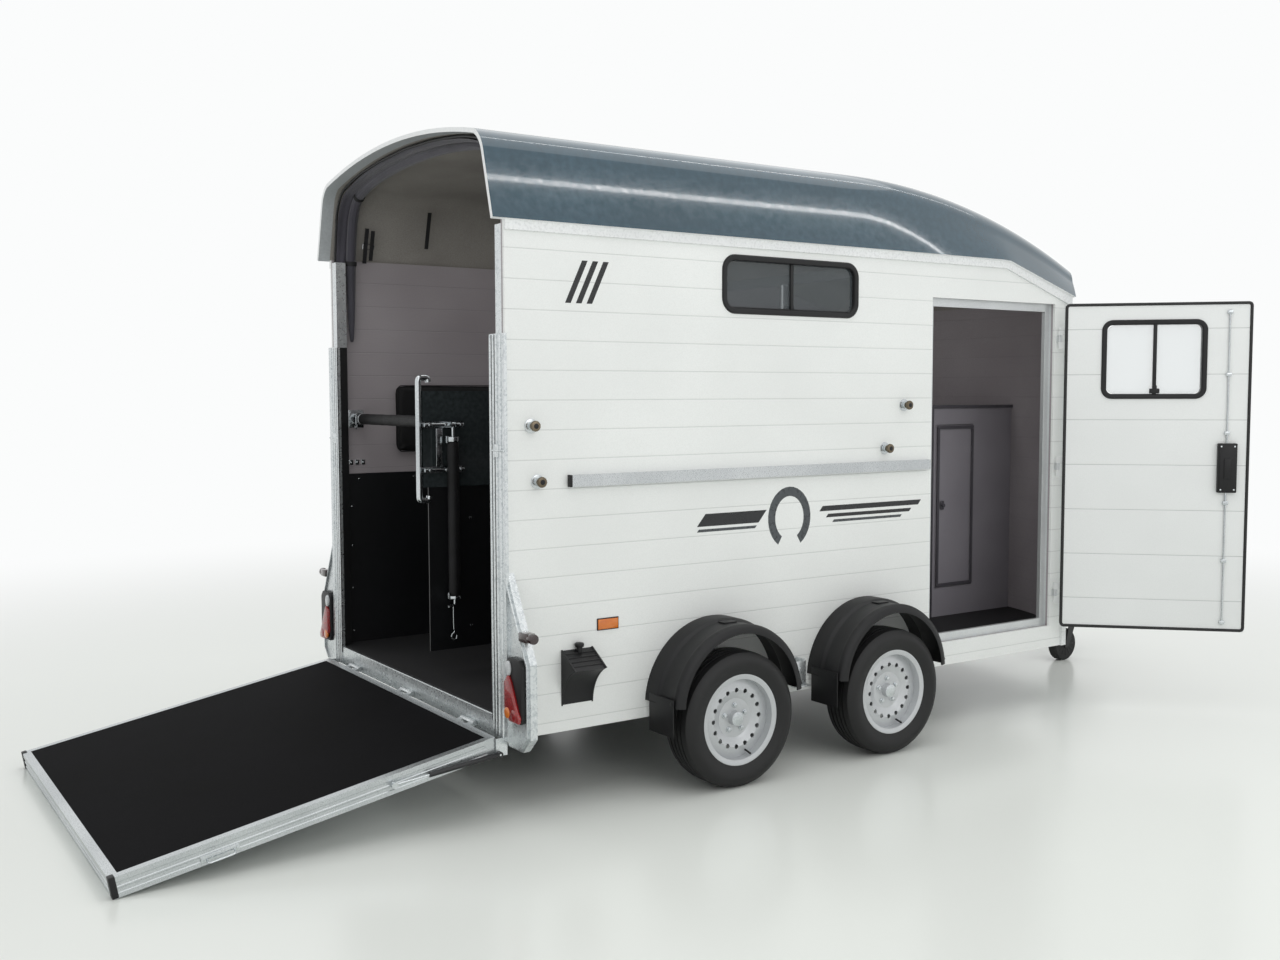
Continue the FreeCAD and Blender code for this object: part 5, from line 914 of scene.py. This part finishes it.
def glazing(name, tint, alpha, roughness):
    """Thin acrylic sheet: mostly clear with a tinted face, slightly wavy in its gloss."""
    material, tree, output, place = empty_material(name)
    gloss = mapped(tree, noise(tree, place, 3.0), roughness, roughness + 0.04)
    shaded(tree, output, [("Base Color", linear(tint)), ("Roughness", gloss), ("Alpha", alpha), ("IOR", 1.49)])
    return material


dress(glazing("smoked_acrylic", "#596064", 0.42, 0.03), "window_panes")

# Groom door: a pale coated leaf in an anodised frame, a black seal round its edge, a window with a
# centre bar and catch, and a latch case whose rods run to the leaf's top and foot.
DOOR = Matrix.Translation(spot(3.283, -0.943, 0)) @ Matrix.Rotation(math.radians(134.7), 4, "Z")
DOOR_INSIDE = 0.041
DOOR_OUTSIDE = 0.011
dress(surface("anodised_door_frame", "#c9cccd", "#dcdfdf", 0.004, 0.35, 0.00003, 0.6), "door_frame")
dress(planks("coated_door_leaf", ("#e9ebea", "#f1f3f2"), None, 0.0004, 0.2347, 0.589), "door_leaf")
dress(glazing("clear_acrylic", "#dfe6e8", 0.25, 0.02), "door_pane")


def leaf_point(along, up, height):
    """A point on the leaf: distance from its pin, height above the ground, and out from its inner face."""
    return Vector((-along, DOOR_INSIDE + height, up))


def leaf_outside(along, up, height):
    """The same counted from its outer face."""
    return Vector((-along, DOOR_OUTSIDE - height, up))


SEAL = ((-0.003, -0.006), (-0.003, 0.0035), (0.000, 0.0065), (0.008, 0.0065), (0.012, 0.0020),
        (0.012, 0.0002), (0.000, 0.0002), (0.000, -0.006))
seal = ring_frame("leaf_seal", (0.024, 0.4335), (0.933, 2.129), 0.020, SEAL, leaf_point)
settle(seal, "groom_door", "black_trim", seal_rubber, 30, DOOR)
LEAF_RING = ((0.000, 0.0002), (0.0008, 0.0060), (0.004, 0.0090), (0.014, 0.0095), (0.0225, 0.0080),
             (0.0262, 0.0040), (0.0265, -0.0145), (0.0240, -0.0145), (0.0240, 0.0002))
LEAF_GLASS = ((0.205, 1.636), (0.722, 2.045))
parts = [ring_frame("leaf_window", *LEAF_GLASS, 0.055, LEAF_RING, leaf_point),
         ring_frame("leaf_window_outside", *LEAF_GLASS, 0.055, LEAF_RING, leaf_outside),
         block("leaf_window_bar", leaf_point(0.476, 1.660, -0.008), leaf_point(0.458, 2.021, 0.0075), 0.002),
         block("leaf_catch", leaf_point(0.492, 1.664, 0.004), leaf_point(0.442, 1.690, 0.0150), 0.003),
         block("leaf_catch_tab", leaf_point(0.478, 1.684, 0.012), leaf_point(0.456, 1.706, 0.0170), 0.002)]
window = joined("leaf_window", parts)
settle(window, "groom_door", "black_trim", black_plastic, 35, DOOR)
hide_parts("door_window_frame")
parts = [block("latch_case", leaf_point(0.874, 1.154, 0.000), leaf_point(0.780, 1.408, 0.026), 0.005),
         block("latch_lid", leaf_point(0.866, 1.162, 0.025), leaf_point(0.788, 1.400, 0.030), 0.003),
         block("latch_paddle", leaf_point(0.845, 1.225, 0.028), leaf_point(0.809, 1.330, 0.036), 0.004)]
latch = joined("latch_case", parts)
settle(latch, "groom_door", "black_trim", black_plastic, 35, DOOR)
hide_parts("door_latch")
ROD_AT = 0.825
parts = [pipe("latch_rod_up", [leaf_point(ROD_AT, 1.400, 0.008), leaf_point(ROD_AT, 2.090, 0.008)], 0.0042),
         pipe("latch_rod_down", [leaf_point(ROD_AT, 1.160, 0.008), leaf_point(ROD_AT, 0.469, 0.008)], 0.0042)]
for up in (0.480, 0.800, 1.100, 1.460, 1.760, 2.078):
    parts.append(block("rod_guide", leaf_point(ROD_AT + 0.013, up - 0.009, 0.000),
                       leaf_point(ROD_AT - 0.013, up + 0.009, 0.0145), 0.002))
for distance, up in ((0.795, 1.170), (0.859, 1.170), (0.795, 1.392), (0.859, 1.392)):
    low, high = leaf_point(distance, up, 0.029), leaf_point(distance, up, 0.0325)
    parts.append(rod("case_bolt", low, high, 0.005, 0.001, 6))
low, high = leaf_outside(0.872, 1.225, 0.000), leaf_outside(0.790, 1.345, 0.006)
parts.append(block("outside_plate", low, high, 0.003))
handle = [leaf_outside(0.860, up, out)
          for up, out in ((1.250, 0.004), (1.250, 0.042), (1.325, 0.042), (1.325, 0.004))]
parts.append(pipe("outside_handle", eased(handle, 0.014), 0.0070))
settle(joined("latch_rods", parts), "groom_door", "zinc", bright_zinc, 35, DOOR)

# Partition: a smooth board, its dark grey painted shade, in zinc brackets on a bent tube, bolted through,
# that turns on a post; the rubber curtain hangs below it.
dress(bright_zinc, "partition_tube", "partition_post", "coupling_head", "jockey_stem", "strut_rod_right",
      "strut_rod_left")
# the partition board's two dark grey tones are painted shade over a pale panel
dress(surface("smooth_dark_partition_board", "#2a2f30", "#3b4143", 0.02, 0.12, 0.00002), "partition_panel")
TUBE_AT = 0.0517
parts = []
for low, high in ((1.226, 1.190), (1.708, 1.744)):
    bend = [spot(TUBE_AT, 0, low), spot(TUBE_AT, 0, high), spot(0.0960, 0, high),
            spot(0.1000, 0, low + (high - low) * 0.45)]
    parts.append(pipe("tube_end", eased(bend, 0.026, 8), 0.0138, 20))
for z in (1.329, 1.532):
    for side in (-1, 1):
        rib = [spot(0.060, side * 0.0425, z), spot(0.252, side * 0.0425, z)]
        parts.append(pipe("bracket_rib", rib, 0.0085, 16))
        for x in (0.085, 0.165, 0.240):
            near, far = spot(x, side * 0.0480, z), spot(x, side * 0.0560, z)
            parts.append(rod("bracket_bolt", near, far, 0.0090, 0.0015, 6))
parts.append(block("bracket_plate", spot(0.118, -0.0400, 1.345), spot(0.150, -0.0335, 1.516), 0.002))
settle(joined("partition_tube_ends", parts), "partition", "zinc", bright_zinc, 35)
parts = [rod("curtain_bolt", spot(x, side * 0.0042, z), spot(x, side * 0.0085, z), 0.0065, 0.0015, 12)
         for side in (-1, 1) for x, z in ((0.30, 1.10), (0.30, 0.60), (1.20, 1.10), (2.05, 1.10), (2.05, 0.60))]
settle(joined("curtain_bolts", parts), "partition", "zinc", bright_zinc, 35)

# Padded bars: steel tubes in foam under a stitched black vinyl cover drawn in at both ends, with zinc
# collars, eyes and pins. Two close the stalls behind and two stand ahead of the horses.
STITCH_PITCH = 0.105


def pad_vinyl(name, dark, light, grain):
    """Embossed vinyl: a leather grain a millimetre or two across that breaks the gloss into fine points."""
    material, tree, output, place = empty_material(name)
    cells = add(tree, "ShaderNodeTexVoronoi", [("Vector", place), ("Scale", 1 / grain)],
                feature="DISTANCE_TO_EDGE")
    cloud = noise(tree, place, 9.0, 4.0)
    crease = mapped(tree, cells.outputs[0], 0.0, 1.0, 0.0, 0.22)
    shaded(tree, output, [("Base Color", tones(tree, cloud, dark, light, 0.35, 0.65)), ("Roughness", 0.55),
                          ("Specular IOR Level", 0.3), ("Normal", raised(tree, crease, 0.0004, 0.7))])
    return material


vinyl = pad_vinyl("embossed_black_vinyl", "#09090a", "#121214", 0.0035)


def padded_roll(name, start, end, radius, rows=56, sides=32):
    """Foam round a tube: a little fuller between its rows of stitches, drawn in at its two ends."""
    start, end = Vector(start), Vector(end)
    length = (end - start).length
    side = (end - start).orthogonal().normalized()
    up = (end - start).normalized().cross(side)
    rows += 2

    def where(row, column):
        share = min(max(row - 1, 0), rows - 2) / (rows - 2)
        point = start + (end - start) * share
        if row in (0, rows):
            return point
        from_end = min(share, 1 - share) * length
        drawn = 1 - 0.34 * max(0.0, 1 - from_end / 0.016) ** 2
        swell = 1 - 0.035 * abs(math.cos(math.pi * share * length / STITCH_PITCH)) ** 6
        turn = math.tau * column / sides
        seam = 0.05 if column % sides == sides // 4 else 0.0
        reach = radius * drawn * swell * (1 - seam)
        return point + reach * (side * math.cos(turn) + up * math.sin(turn))

    return lattice(name, rows, sides, where)


def left(y, rise=0.0, x=REAR_BAR[0]):
    """A point on the left bar's own line, or this much above it."""
    return spot(x, y, REAR_BAR[1] + rise)


PAD_RADIUS = 0.0268
left_roll = padded_roll("left_bar_pad", left(0.812), left(0.058), PAD_RADIUS)
settle(left_roll, "bar_left", "padding", vinyl, 50)
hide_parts("rear_bar_left")
shackle = [left(0.8537, 0.015), left(0.8480, 0.027, 0.096), left(0.8320, 0.015, 0.084),
           left(0.8320, -0.025, 0.084)]
RING_RADIUS = 0.013
ring = []
for step in range(21):
    turn = math.tau * step / 20
    ring.append(left(0.832 + RING_RADIUS * math.sin(turn), -0.038 + RING_RADIUS * math.cos(turn), 0.084))
parts = [rod("left_collar", left(0.8200), left(0.8040), 0.0285, 0.002, 32),
         rod("left_end", left(0.0660), left(0.0500), 0.0282, 0.004, 32),
         rod("left_neck", left(0.8560), left(0.8180), 0.0085, 0.001, 16),
         rod("left_eye", left(0.8537, -0.0118), left(0.8537, 0.0118), 0.0118, 0.0015, 24),
         pipe("left_shackle", eased(shackle, 0.010), 0.0035),
         pipe("left_ring", ring, 0.0022, 8)]
piece = settle(joined("left_bar_fittings", parts), "bar_left", "zinc", bright_zinc, 35)
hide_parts("rear_bar_left")

HANGS_AT = (0.190, -0.062)


def hung(x, y, z):
    """A point beside the hanging bar's own line."""
    return spot(HANGS_AT[0] + x, HANGS_AT[1] + y, z)


right_roll = padded_roll("right_bar_pad", hung(0, 0, 1.462), hung(0, 0, 0.748), PAD_RADIUS)
settle(right_roll, "bar_right", "padding", vinyl, 50)
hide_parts("rear_bar_right")
hook = [hung(0, 0, 1.470), hung(0, 0, 1.515), hung(-0.002, 0.004, 1.532)]
pin = [hung(0, 0, 0.745), hung(0, 0, 0.712), hung(-0.034, -0.006, 0.708)]
wire = [hung(-0.010, -0.004, 0.712), hung(-0.010, -0.004, 0.655), hung(-0.009, -0.004, 0.600)]
snap = [hung(x, -0.004, z) for x, z in ((-0.009, 0.603), (-0.004, 0.590), (-0.022, 0.575), (-0.016, 0.553),
                                        (0.004, 0.556), (0.006, 0.574))]
parts = [rod("right_collar", hung(0, 0, 1.4780), hung(0, 0, 1.4560), 0.0285, 0.002, 32),
         rod("right_end", hung(0, 0, 0.7560), hung(0, 0, 0.7400), 0.0285, 0.002, 32),
         block("collar_clip", hung(-0.034, -0.010, 1.450), hung(-0.026, 0.010, 1.482), 0.002),
         block("collar_clip", hung(-0.034, -0.010, 0.742), hung(-0.026, 0.010, 0.772), 0.002),
         pipe("right_hook", eased(hook, 0.012), 0.0065),
         rod("right_eye", hung(-0.0110, 0, 1.532), hung(0.0110, 0, 1.532), 0.0118, 0.001, 24),
         pipe("right_pin", eased(pin, 0.012), 0.0055),
         pipe("right_wire", wire, 0.0016, 8),
         pipe("snap_hook", eased(snap, 0.009), 0.0028, 8)]
piece = settle(joined("right_bar_fittings", parts), "bar_right", "zinc", bright_zinc, 35)
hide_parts("rear_bar_right")



def breast(y):
    """A point on the bar across the front of the stalls."""
    return spot(BREAST_BAR[0], y, BREAST_BAR[1])


front_roll = padded_roll("breast_bar_pad_right", breast(-0.046), breast(-0.860), PAD_RADIUS)
front_ends = joined("breast_bar_ends_right", [
    rod("breast_end", breast(-0.0500), breast(-0.0350), 0.0282, 0.002, 32),
    rod("breast_end", breast(-0.8500), breast(-0.8655), 0.0282, 0.002, 32),
    rod("breast_pin", breast(-0.0255), breast(-0.0360), 0.0085, 0.0005, 16)])
for piece in both_sides(front_roll, "trailer_body", "padding", vinyl, 50, "breast_bars"):
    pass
both_sides(front_ends, "trailer_body", "zinc", bright_zinc, 35, "breast_bars")

# Side pads: sheets of foam in black vinyl, screwed to the walls along their back. The cover is blown out
# by a short cloth simulation against its fixed back, then piped round its front edge.
PAD_LOW = Vector((0.325, 0.8605, 1.370))
PAD_HIGH = Vector((1.900, 0.8990, 1.717))
PAD_ROWS = 130
PAD_SIDES = 72
SWELL_CAP = 0.004
PAD_THIN = 0.80


def pad_point(row, column):
    """A flat cushion: its outline rounded in plan, its long sides drawn in a little between the corners."""
    run = -math.cos(math.pi * row / PAD_ROWS)
    shut = (1 - abs(run) ** 26) ** (1 / 26) if abs(run) < 1 else 0.0
    turn = math.tau * column / PAD_SIDES
    across = math.copysign(abs(math.cos(turn)) ** 0.22, math.cos(turn))
    out = math.copysign(abs(math.sin(turn)) ** 0.45, math.sin(turn))
    middle = (PAD_LOW + PAD_HIGH) / 2
    half = (PAD_HIGH - PAD_LOW) / 2
    drawn = 1 - 0.022 * (1 - run * run)
    depth = half.y * (PAD_THIN * out * shut + 1 - PAD_THIN)
    return spot(middle.x + half.x * run * (1 - 0.003 * (1 - across * across)), middle.y + depth,
                middle.z + half.z * across * drawn * shut)


def blown_out(piece, pinned, pressure, cap):
    """A short cloth simulation under air pressure; no point moves further than the cap."""
    start = [vertex.co.copy() for vertex in piece.data.vertices]
    group = piece.vertex_groups.new(name="screwed_back")
    group.add([vertex.index for vertex in piece.data.vertices if pinned(vertex.co)], 1.0, "REPLACE")
    alone(piece)
    cloth = piece.modifiers.new("cover", "CLOTH")
    cloth.settings.use_pressure = True
    cloth.settings.uniform_pressure_force = pressure
    cloth.settings.vertex_group_mass = "screwed_back"
    cloth.settings.effector_weights.gravity = 0
    cloth.point_cache.frame_start = 1
    cloth.point_cache.frame_end = 20
    for step in range(1, 21):
        bpy.context.scene.frame_set(step)
    bpy.ops.object.modifier_apply(modifier=cloth.name)
    for vertex, before in zip(piece.data.vertices, start):
        moved = vertex.co - before
        if moved.length > cap:
            vertex.co = before + moved.normalized() * cap
    piece.vertex_groups.clear()
    bpy.context.scene.frame_set(1)


pad = lattice("side_pad_left", PAD_ROWS, PAD_SIDES, pad_point)
wall_line = spot(0, 0.8960, 0).y
blown_out(pad, lambda co: co.y > wall_line, 4.0, SWELL_CAP)
PIPING_CORNER = 0.0185
perimeter = []
for centre, quarter in (((1.878, 1.695), 0), ((0.347, 1.695), 1), ((0.347, 1.392), 2), ((1.878, 1.392), 3)):
    for step in range(7):
        turn = math.radians(90 * (quarter + step / 6))
        perimeter.append(spot(centre[0] + PIPING_CORNER * math.cos(turn), 0.8665,
                              centre[1] + PIPING_CORNER * math.sin(turn)))
piping = pipe("pad_piping_left", perimeter + [perimeter[0]], 0.0024, 8)
for piece in both_sides(pad, "trailer_body", "padding", vinyl, 60, "side_pads"):
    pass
both_sides(piping, "trailer_body", "padding", vinyl, 60, "side_pads")

# Rolled canvas: the rear curtain, rolled up and tied under the roof's rear edge. Its layers show as
# slack folds along the roll, it thins out towards both feet, and a strip runs on to the roof's edge.
ROLL_PATH = ((-0.870, 1.932), (-0.870, 2.100), (-0.869, 2.300), (-0.852, 2.440), (-0.826, 2.560),
             (-0.760, 2.640), (-0.560, 2.690), (-0.280, 2.718), (0.0, 2.7275))
ROLL_RADIUS = 0.0262
half_roll = eased([spot(0.0855, y, z) for y, z in ROLL_PATH], 0.09, 6)
over_roll = half_roll[:-1] + [OTHER_SIDE @ point for point in reversed(half_roll)]
roll_frames = along(over_roll)
roll_at = [0.0]
for before, after in zip(over_roll, over_roll[1:]):
    roll_at.append(roll_at[-1] + (after - before).length)
ROLL_SIDES = 48


def roll_point(row, column):
    """A point of the roll: folds run slowly round it, and ties pinch it."""
    index = min(max(row - 1, 0), len(roll_frames) - 1)
    point, side, up = roll_frames[index]
    if row in (0, len(roll_frames) + 1):
        return point
    run = roll_at[index]
    end = min(run, roll_at[-1] - run)
    turn = math.tau * column / ROLL_SIDES
    thin = 0.42 + 0.58 * min(1.0, end / 0.34) ** 0.7
    folds = 0.055 * math.sin(3 * turn + 2.1 * run) + 0.035 * math.sin(5 * turn - 3.7 * run + 1.0)
    folds += 0.02 * math.sin(9 * turn + 11 * run)
    slack = 0.02 * math.sin(14 * run + 2 * turn)
    reach = ROLL_RADIUS * thin * (0.92 + folds + slack)
    return point + reach * (side * math.cos(turn) + up * math.sin(turn))


def canvas(name, dark, light, thread):
    """Plain-woven canvas: threads drawn twice as coarse as real so that the weave shows, soft and matt."""
    material, tree, output, place = empty_material(name)
    inputs = [("Vector", place), ("Scale", WAVE / thread), ("Distortion", 0.6)]
    warp, weft = [add(tree, "ShaderNodeTexWave", inputs, bands_direction=direction).outputs["Fac"]
                  for direction in ("X", "Z")]
    weave = maths(tree, "MULTIPLY", warp, weft)
    mixed = maths(tree, "ADD", weave, noise(tree, place, 6.0, 4.0))
    shaded(tree, output, [("Base Color", tones(tree, mixed, dark, light, 0.3, 1.0)), ("Roughness", 0.85),
                          ("Sheen Weight", 0.3), ("Normal", raised(tree, weave, 0.0006, 0.5))])
    return material


roll = lattice("rolled_canvas", len(roll_frames) + 1, ROLL_SIDES, roll_point)
smoother = roll.modifiers.new("soft_folds", "SUBSURF")
smoother.levels = smoother.render_levels = 1
grey_canvas = canvas("rolled_grey_canvas", "#2b2a31", "#48464f", 0.0016)
settle(roll, "trailer_body", "canvas", grey_canvas, 60)
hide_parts("rear_canopy")
SEAL_LINE_AT = spot(0.012, 0, 0).x
seal_line = []
for point in over_roll:
    rise = 0.022 if point.z > 2.5 else 0
    seal_line.append(Vector((SEAL_LINE_AT, ASIDE + (point.y - ASIDE) * 1.030, point.z + rise)))
settle(pipe("roof_seal_line", seal_line, 0.0055, 10), "trailer_body", "wall_lining", seal_rubber, 50)
APRON_TAPER = 0.45
APRON_COLUMNS = 14


def apron_point(row, column):
    """The canvas that hangs on from the roll to the roof's edge: slack between the two."""
    point, side, up = roll_frames[row]
    outward = Vector((0, point.y - ASIDE, point.z - 2.30 if point.z > 2.30 else 0.0)).normalized()
    share = column / APRON_COLUMNS
    end = min(roll_at[row], roll_at[-1] - roll_at[row])
    fade = min(1.0, end / APRON_TAPER)
    sag = 0.012 * math.sin(math.pi * share) + 0.003 * math.sin(4 * math.pi * share + 3 * roll_at[row])
    return Vector((SEAL_LINE_AT + 0.004 + 0.078 * share * fade, point.y, point.z)) + outward * (0.0225 - sag)


apron = lattice("canvas_apron", len(roll_frames) - 1, APRON_COLUMNS, apron_point)
thickness = apron.modifiers.new("cloth", "SOLIDIFY")
thickness.thickness = 0.0012
settle(apron, "trailer_body", "canvas", grey_canvas, 60)
# the strip is cut to the roll's length and tapers at both feet
webbing = surface("black_webbing", "#0d0d0e", "#17171a", 0.0018, 0.7, 0.0004)
ties = []
TIE_BAND = ((0.0268, -0.011), (0.0276, -0.011), (0.0276, 0.011), (0.0268, 0.011))
for part, whole in ((1, 8), (1, 3), (2, 3), (7, 8)):
    point, side, up = roll_frames[len(roll_frames) * part // whole]
    band = [Vector((radius, shift, 0)) for radius, shift in TIE_BAND]
    tie = spun("canvas_tie", band, (0, 0, 0), (0, 1, 0), math.tau, 32)
    turn = side.cross(up).to_track_quat("Y", "Z").to_matrix().to_4x4()
    tie.data.transform(Matrix.Translation(point) @ turn)
    ties.append(tie)
settle(joined("canvas_ties", ties), "trailer_body", "canvas", webbing, 35)

# Straps and hooks on the left: webbing ties that hang on the roof's inner side, one with its buckle, and
# a row of three zinc catch plates.
parts = []
for x, low, high in ((0.150, 2.330, 2.500), (0.182, 2.345, 2.490), (0.480, 2.420, 2.600)):
    foot, head = [0.875 - 0.072 * (z - WALL_TOP) / 0.260 for z in (low, high)]
    strap = [spot(x, foot, low), spot(x, foot - 0.003, low), spot(x, head - 0.003, high), spot(x, head, high)]
    parts.append(slab("roof_strap", strap, (0.020, 0, 0)))
settle(joined("roof_straps", parts), "trailer_body", "canvas", webbing, 35)
buckle = [spot(0.146, 0.8600, 2.400), spot(0.206, 0.8600, 2.400), spot(0.206, 0.8540, 2.425),
          spot(0.146, 0.8540, 2.425), spot(0.146, 0.8600, 2.400)]
parts = [pipe("strap_buckle", eased(buckle, 0.006), 0.0022, 8)]
for x in (0.080, 0.112, 0.144):
    parts.append(block("catch_plate", spot(x - 0.011, 0.8960, 1.311), spot(x + 0.011, 0.9000, 1.337), 0.0015))
    parts.append(rod("catch_pin", spot(x, 0.8965, 1.324), spot(x, 0.8840, 1.324), 0.0045, 0.001, 12))
settle(joined("wall_fittings", parts), "trailer_body", "zinc", bright_zinc, 35)

# Tack locker: grey coated panels with a darker trim along its top and up its edge; the door has a dark
# frame, silver hinges and a turn latch.
locker_panel = surface("grey_locker_panel", "#8f8b92", "#9e9aa1", 0.004, 0.5, 0.00005)
dress(locker_panel, "tack_locker", "locker_door")
parts = [block("locker_top_trim", spot(3.024, -0.304, 1.582), spot(3.715, -0.296, 1.600), 0.002),
         block("locker_back_trim", spot(3.0235, -0.300, 1.582), spot(3.0285, 0.898, 1.600), 0.002),
         block("locker_edge_trim", spot(3.0235, -0.3035, 0.402), spot(3.0330, -0.290, 1.583), 0.002)]
locker_edging = surface("dark_locker_trim", "#4a484e", "#5a585e", 0.006, 0.4)
settle(joined("locker_trim", parts), "trailer_body", "locker", locker_edging, 35)
parts = [block("leaf_trim", spot(low_x, -0.3018, low_z), spot(high_x, -0.2985, high_z), 0.0012)
         for low_x, high_x, low_z, high_z in ((3.066, 3.362, 0.572, 0.590), (3.066, 3.362, 1.466, 1.484),
                                              (3.066, 3.084, 0.590, 1.466), (3.344, 3.362, 0.590, 1.466))]
parts.append(block("turn_latch", spot(3.094, -0.3050, 1.010), spot(3.120, -0.2995, 1.060), 0.003))
parts.append(rod("turn_knob", spot(3.107, -0.3040, 1.035), spot(3.107, -0.3180, 1.035), 0.011, 0.003, 24))
settle(joined("locker_leaf_trim", parts), "locker_leaf", "locker", locker_edging, 35)

# Overrun hitch: black painted casting, a rubber bellows in seven folds round the drawtube, a zinc
# pressed coupling head, and the handbrake lever with a ribbed grip.
black_steel = surface("black_painted_steel", "#121214", "#1d1d20", 0.006, 0.35, 0.00005)
dress(black_steel, "overrun_housing", "handbrake_lever", "jockey_fork", "strut_cylinder_right",
      "strut_cylinder_left")
BELLOWS = (4.731, 4.899)
outline = [(0.0245, 0.0)]
for fold in range(7):
    start = fold / 7
    outline += [(0.0330, start + 0.004), (0.0425, start + 0.050), (0.0435, start + 0.072),
                (0.0425, start + 0.094)]
outline += [(0.0330, 0.996), (0.0245, 1.0)]
outline = [Vector((radius, (BELLOWS[1] - BELLOWS[0]) * share, 0)) for radius, share in outline]
folds = spun("bellows_folds", outline, (0, 0, 0), (0, 1, 0), math.tau, 40)
folds.data.transform(Matrix.Translation(spot(BELLOWS[0], 0, 0.425)) @ Matrix.Rotation(-math.pi / 2, 4, "Z"))
settle(folds, "trailer_body", "bellows", tyre_rubber, 50)
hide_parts("drawtube_bellows")
dress(tyre_rubber, "jockey_wheel")
parts = []
lever_start = spot(4.520, 0.0485, 0.4900)
lever_end = spot(4.850, 0.0485, 0.6070)
lever_way = (lever_end - lever_start).normalized()
for step in range(9):
    at = lever_end - lever_way * (0.010 + 0.014 * step)
    parts.append(rod("grip_rib", at - lever_way * 0.0045, at + lever_way * 0.0045, 0.0172, 0.002, 24))
settle(joined("handbrake_grip", parts), "trailer_body", "black_steel", black_plastic, 40)
parts = []
for turn in range(12):
    angle = math.tau * turn / 12
    parts.append(block("wheel_spoke", (-0.004, -0.0315, 0.022), (0.004, 0.0315, 0.070), 0.002))
    parts[-1].data.transform(Matrix.Rotation(angle, 4, "Y"))
parts.append(rod("jockey_hub", (0, -0.034, 0), (0, 0.034, 0), 0.024, 0.003, 28))
hub = joined("jockey_hub", parts)
hub.data.transform(Matrix.Translation(spot(4.285, -0.225, 0.100)))
settle(hub, "jockey_roller", "jockey_rubber", black_plastic, 35)

# Stripes on the right wall: plain bands of black and graphite film with slanted ends, and three short
# bars at the rear. A horseshoe stands between the bands, as on many such trailers.
film_black = surface("black_film", "#161719", "#1f2123", 0.02, 0.3)
film_graphite = surface("graphite_film", "#3c4043", "#4b5053", 0.02, 0.3)


def filmed(name, points):
    """An outline cut from film and laid on the right wall."""
    return slab(name, [spot(x, -WALL_FACE - 0.0001, z) for x, z in points], (0, -0.0004, 0))


def stripe(name, start, end, low, high, lean):
    """A band of film on the right wall, its ends slanted forwards."""
    points = [(start, low), (end, low), (end + lean, high), (start + lean, high)]
    return filmed(name, points)


bands = [stripe("band", 1.62, 2.26, 1.128, 1.152, 0.020), stripe("band", 1.66, 2.20, 1.098, 1.114, 0.014),
         stripe("band", 0.92, 1.26, 1.098, 1.152, 0.046)]
for step in range(3):
    bands.append(stripe("bar", 0.270 + 0.05 * step, 0.296 + 0.05 * step, 2.030, 2.200, 0.080))
settle(joined("wall_bands_black", bands), "trailer_body", "aluminium_planks", film_black, 30)
bands = [stripe("band", 1.70, 2.14, 1.074, 1.086, 0.010), stripe("band", 0.92, 1.24, 1.074, 1.086, 0.010)]
SHOE_STEPS = 28
SHOE_CENTRE = (1.440, 1.110)
SHOE_OPENS = 64
shoe = []
for radius_x, radius_z in ((0.125, 0.140), (0.084, 0.098)):
    ring = []
    for step in range(SHOE_STEPS + 1):
        turn = math.radians(SHOE_OPENS / 2 - 90 + (360 - SHOE_OPENS) * step / SHOE_STEPS)
        ring.append((SHOE_CENTRE[0] + radius_x * math.cos(turn), SHOE_CENTRE[1] + radius_z * math.sin(turn)))
    shoe.append(ring)
points = shoe[0] + shoe[1][::-1]
bands.append(filmed("horseshoe", points))
settle(joined("wall_bands_graphite", bands), "trailer_body", "aluminium_planks", film_graphite, 30)
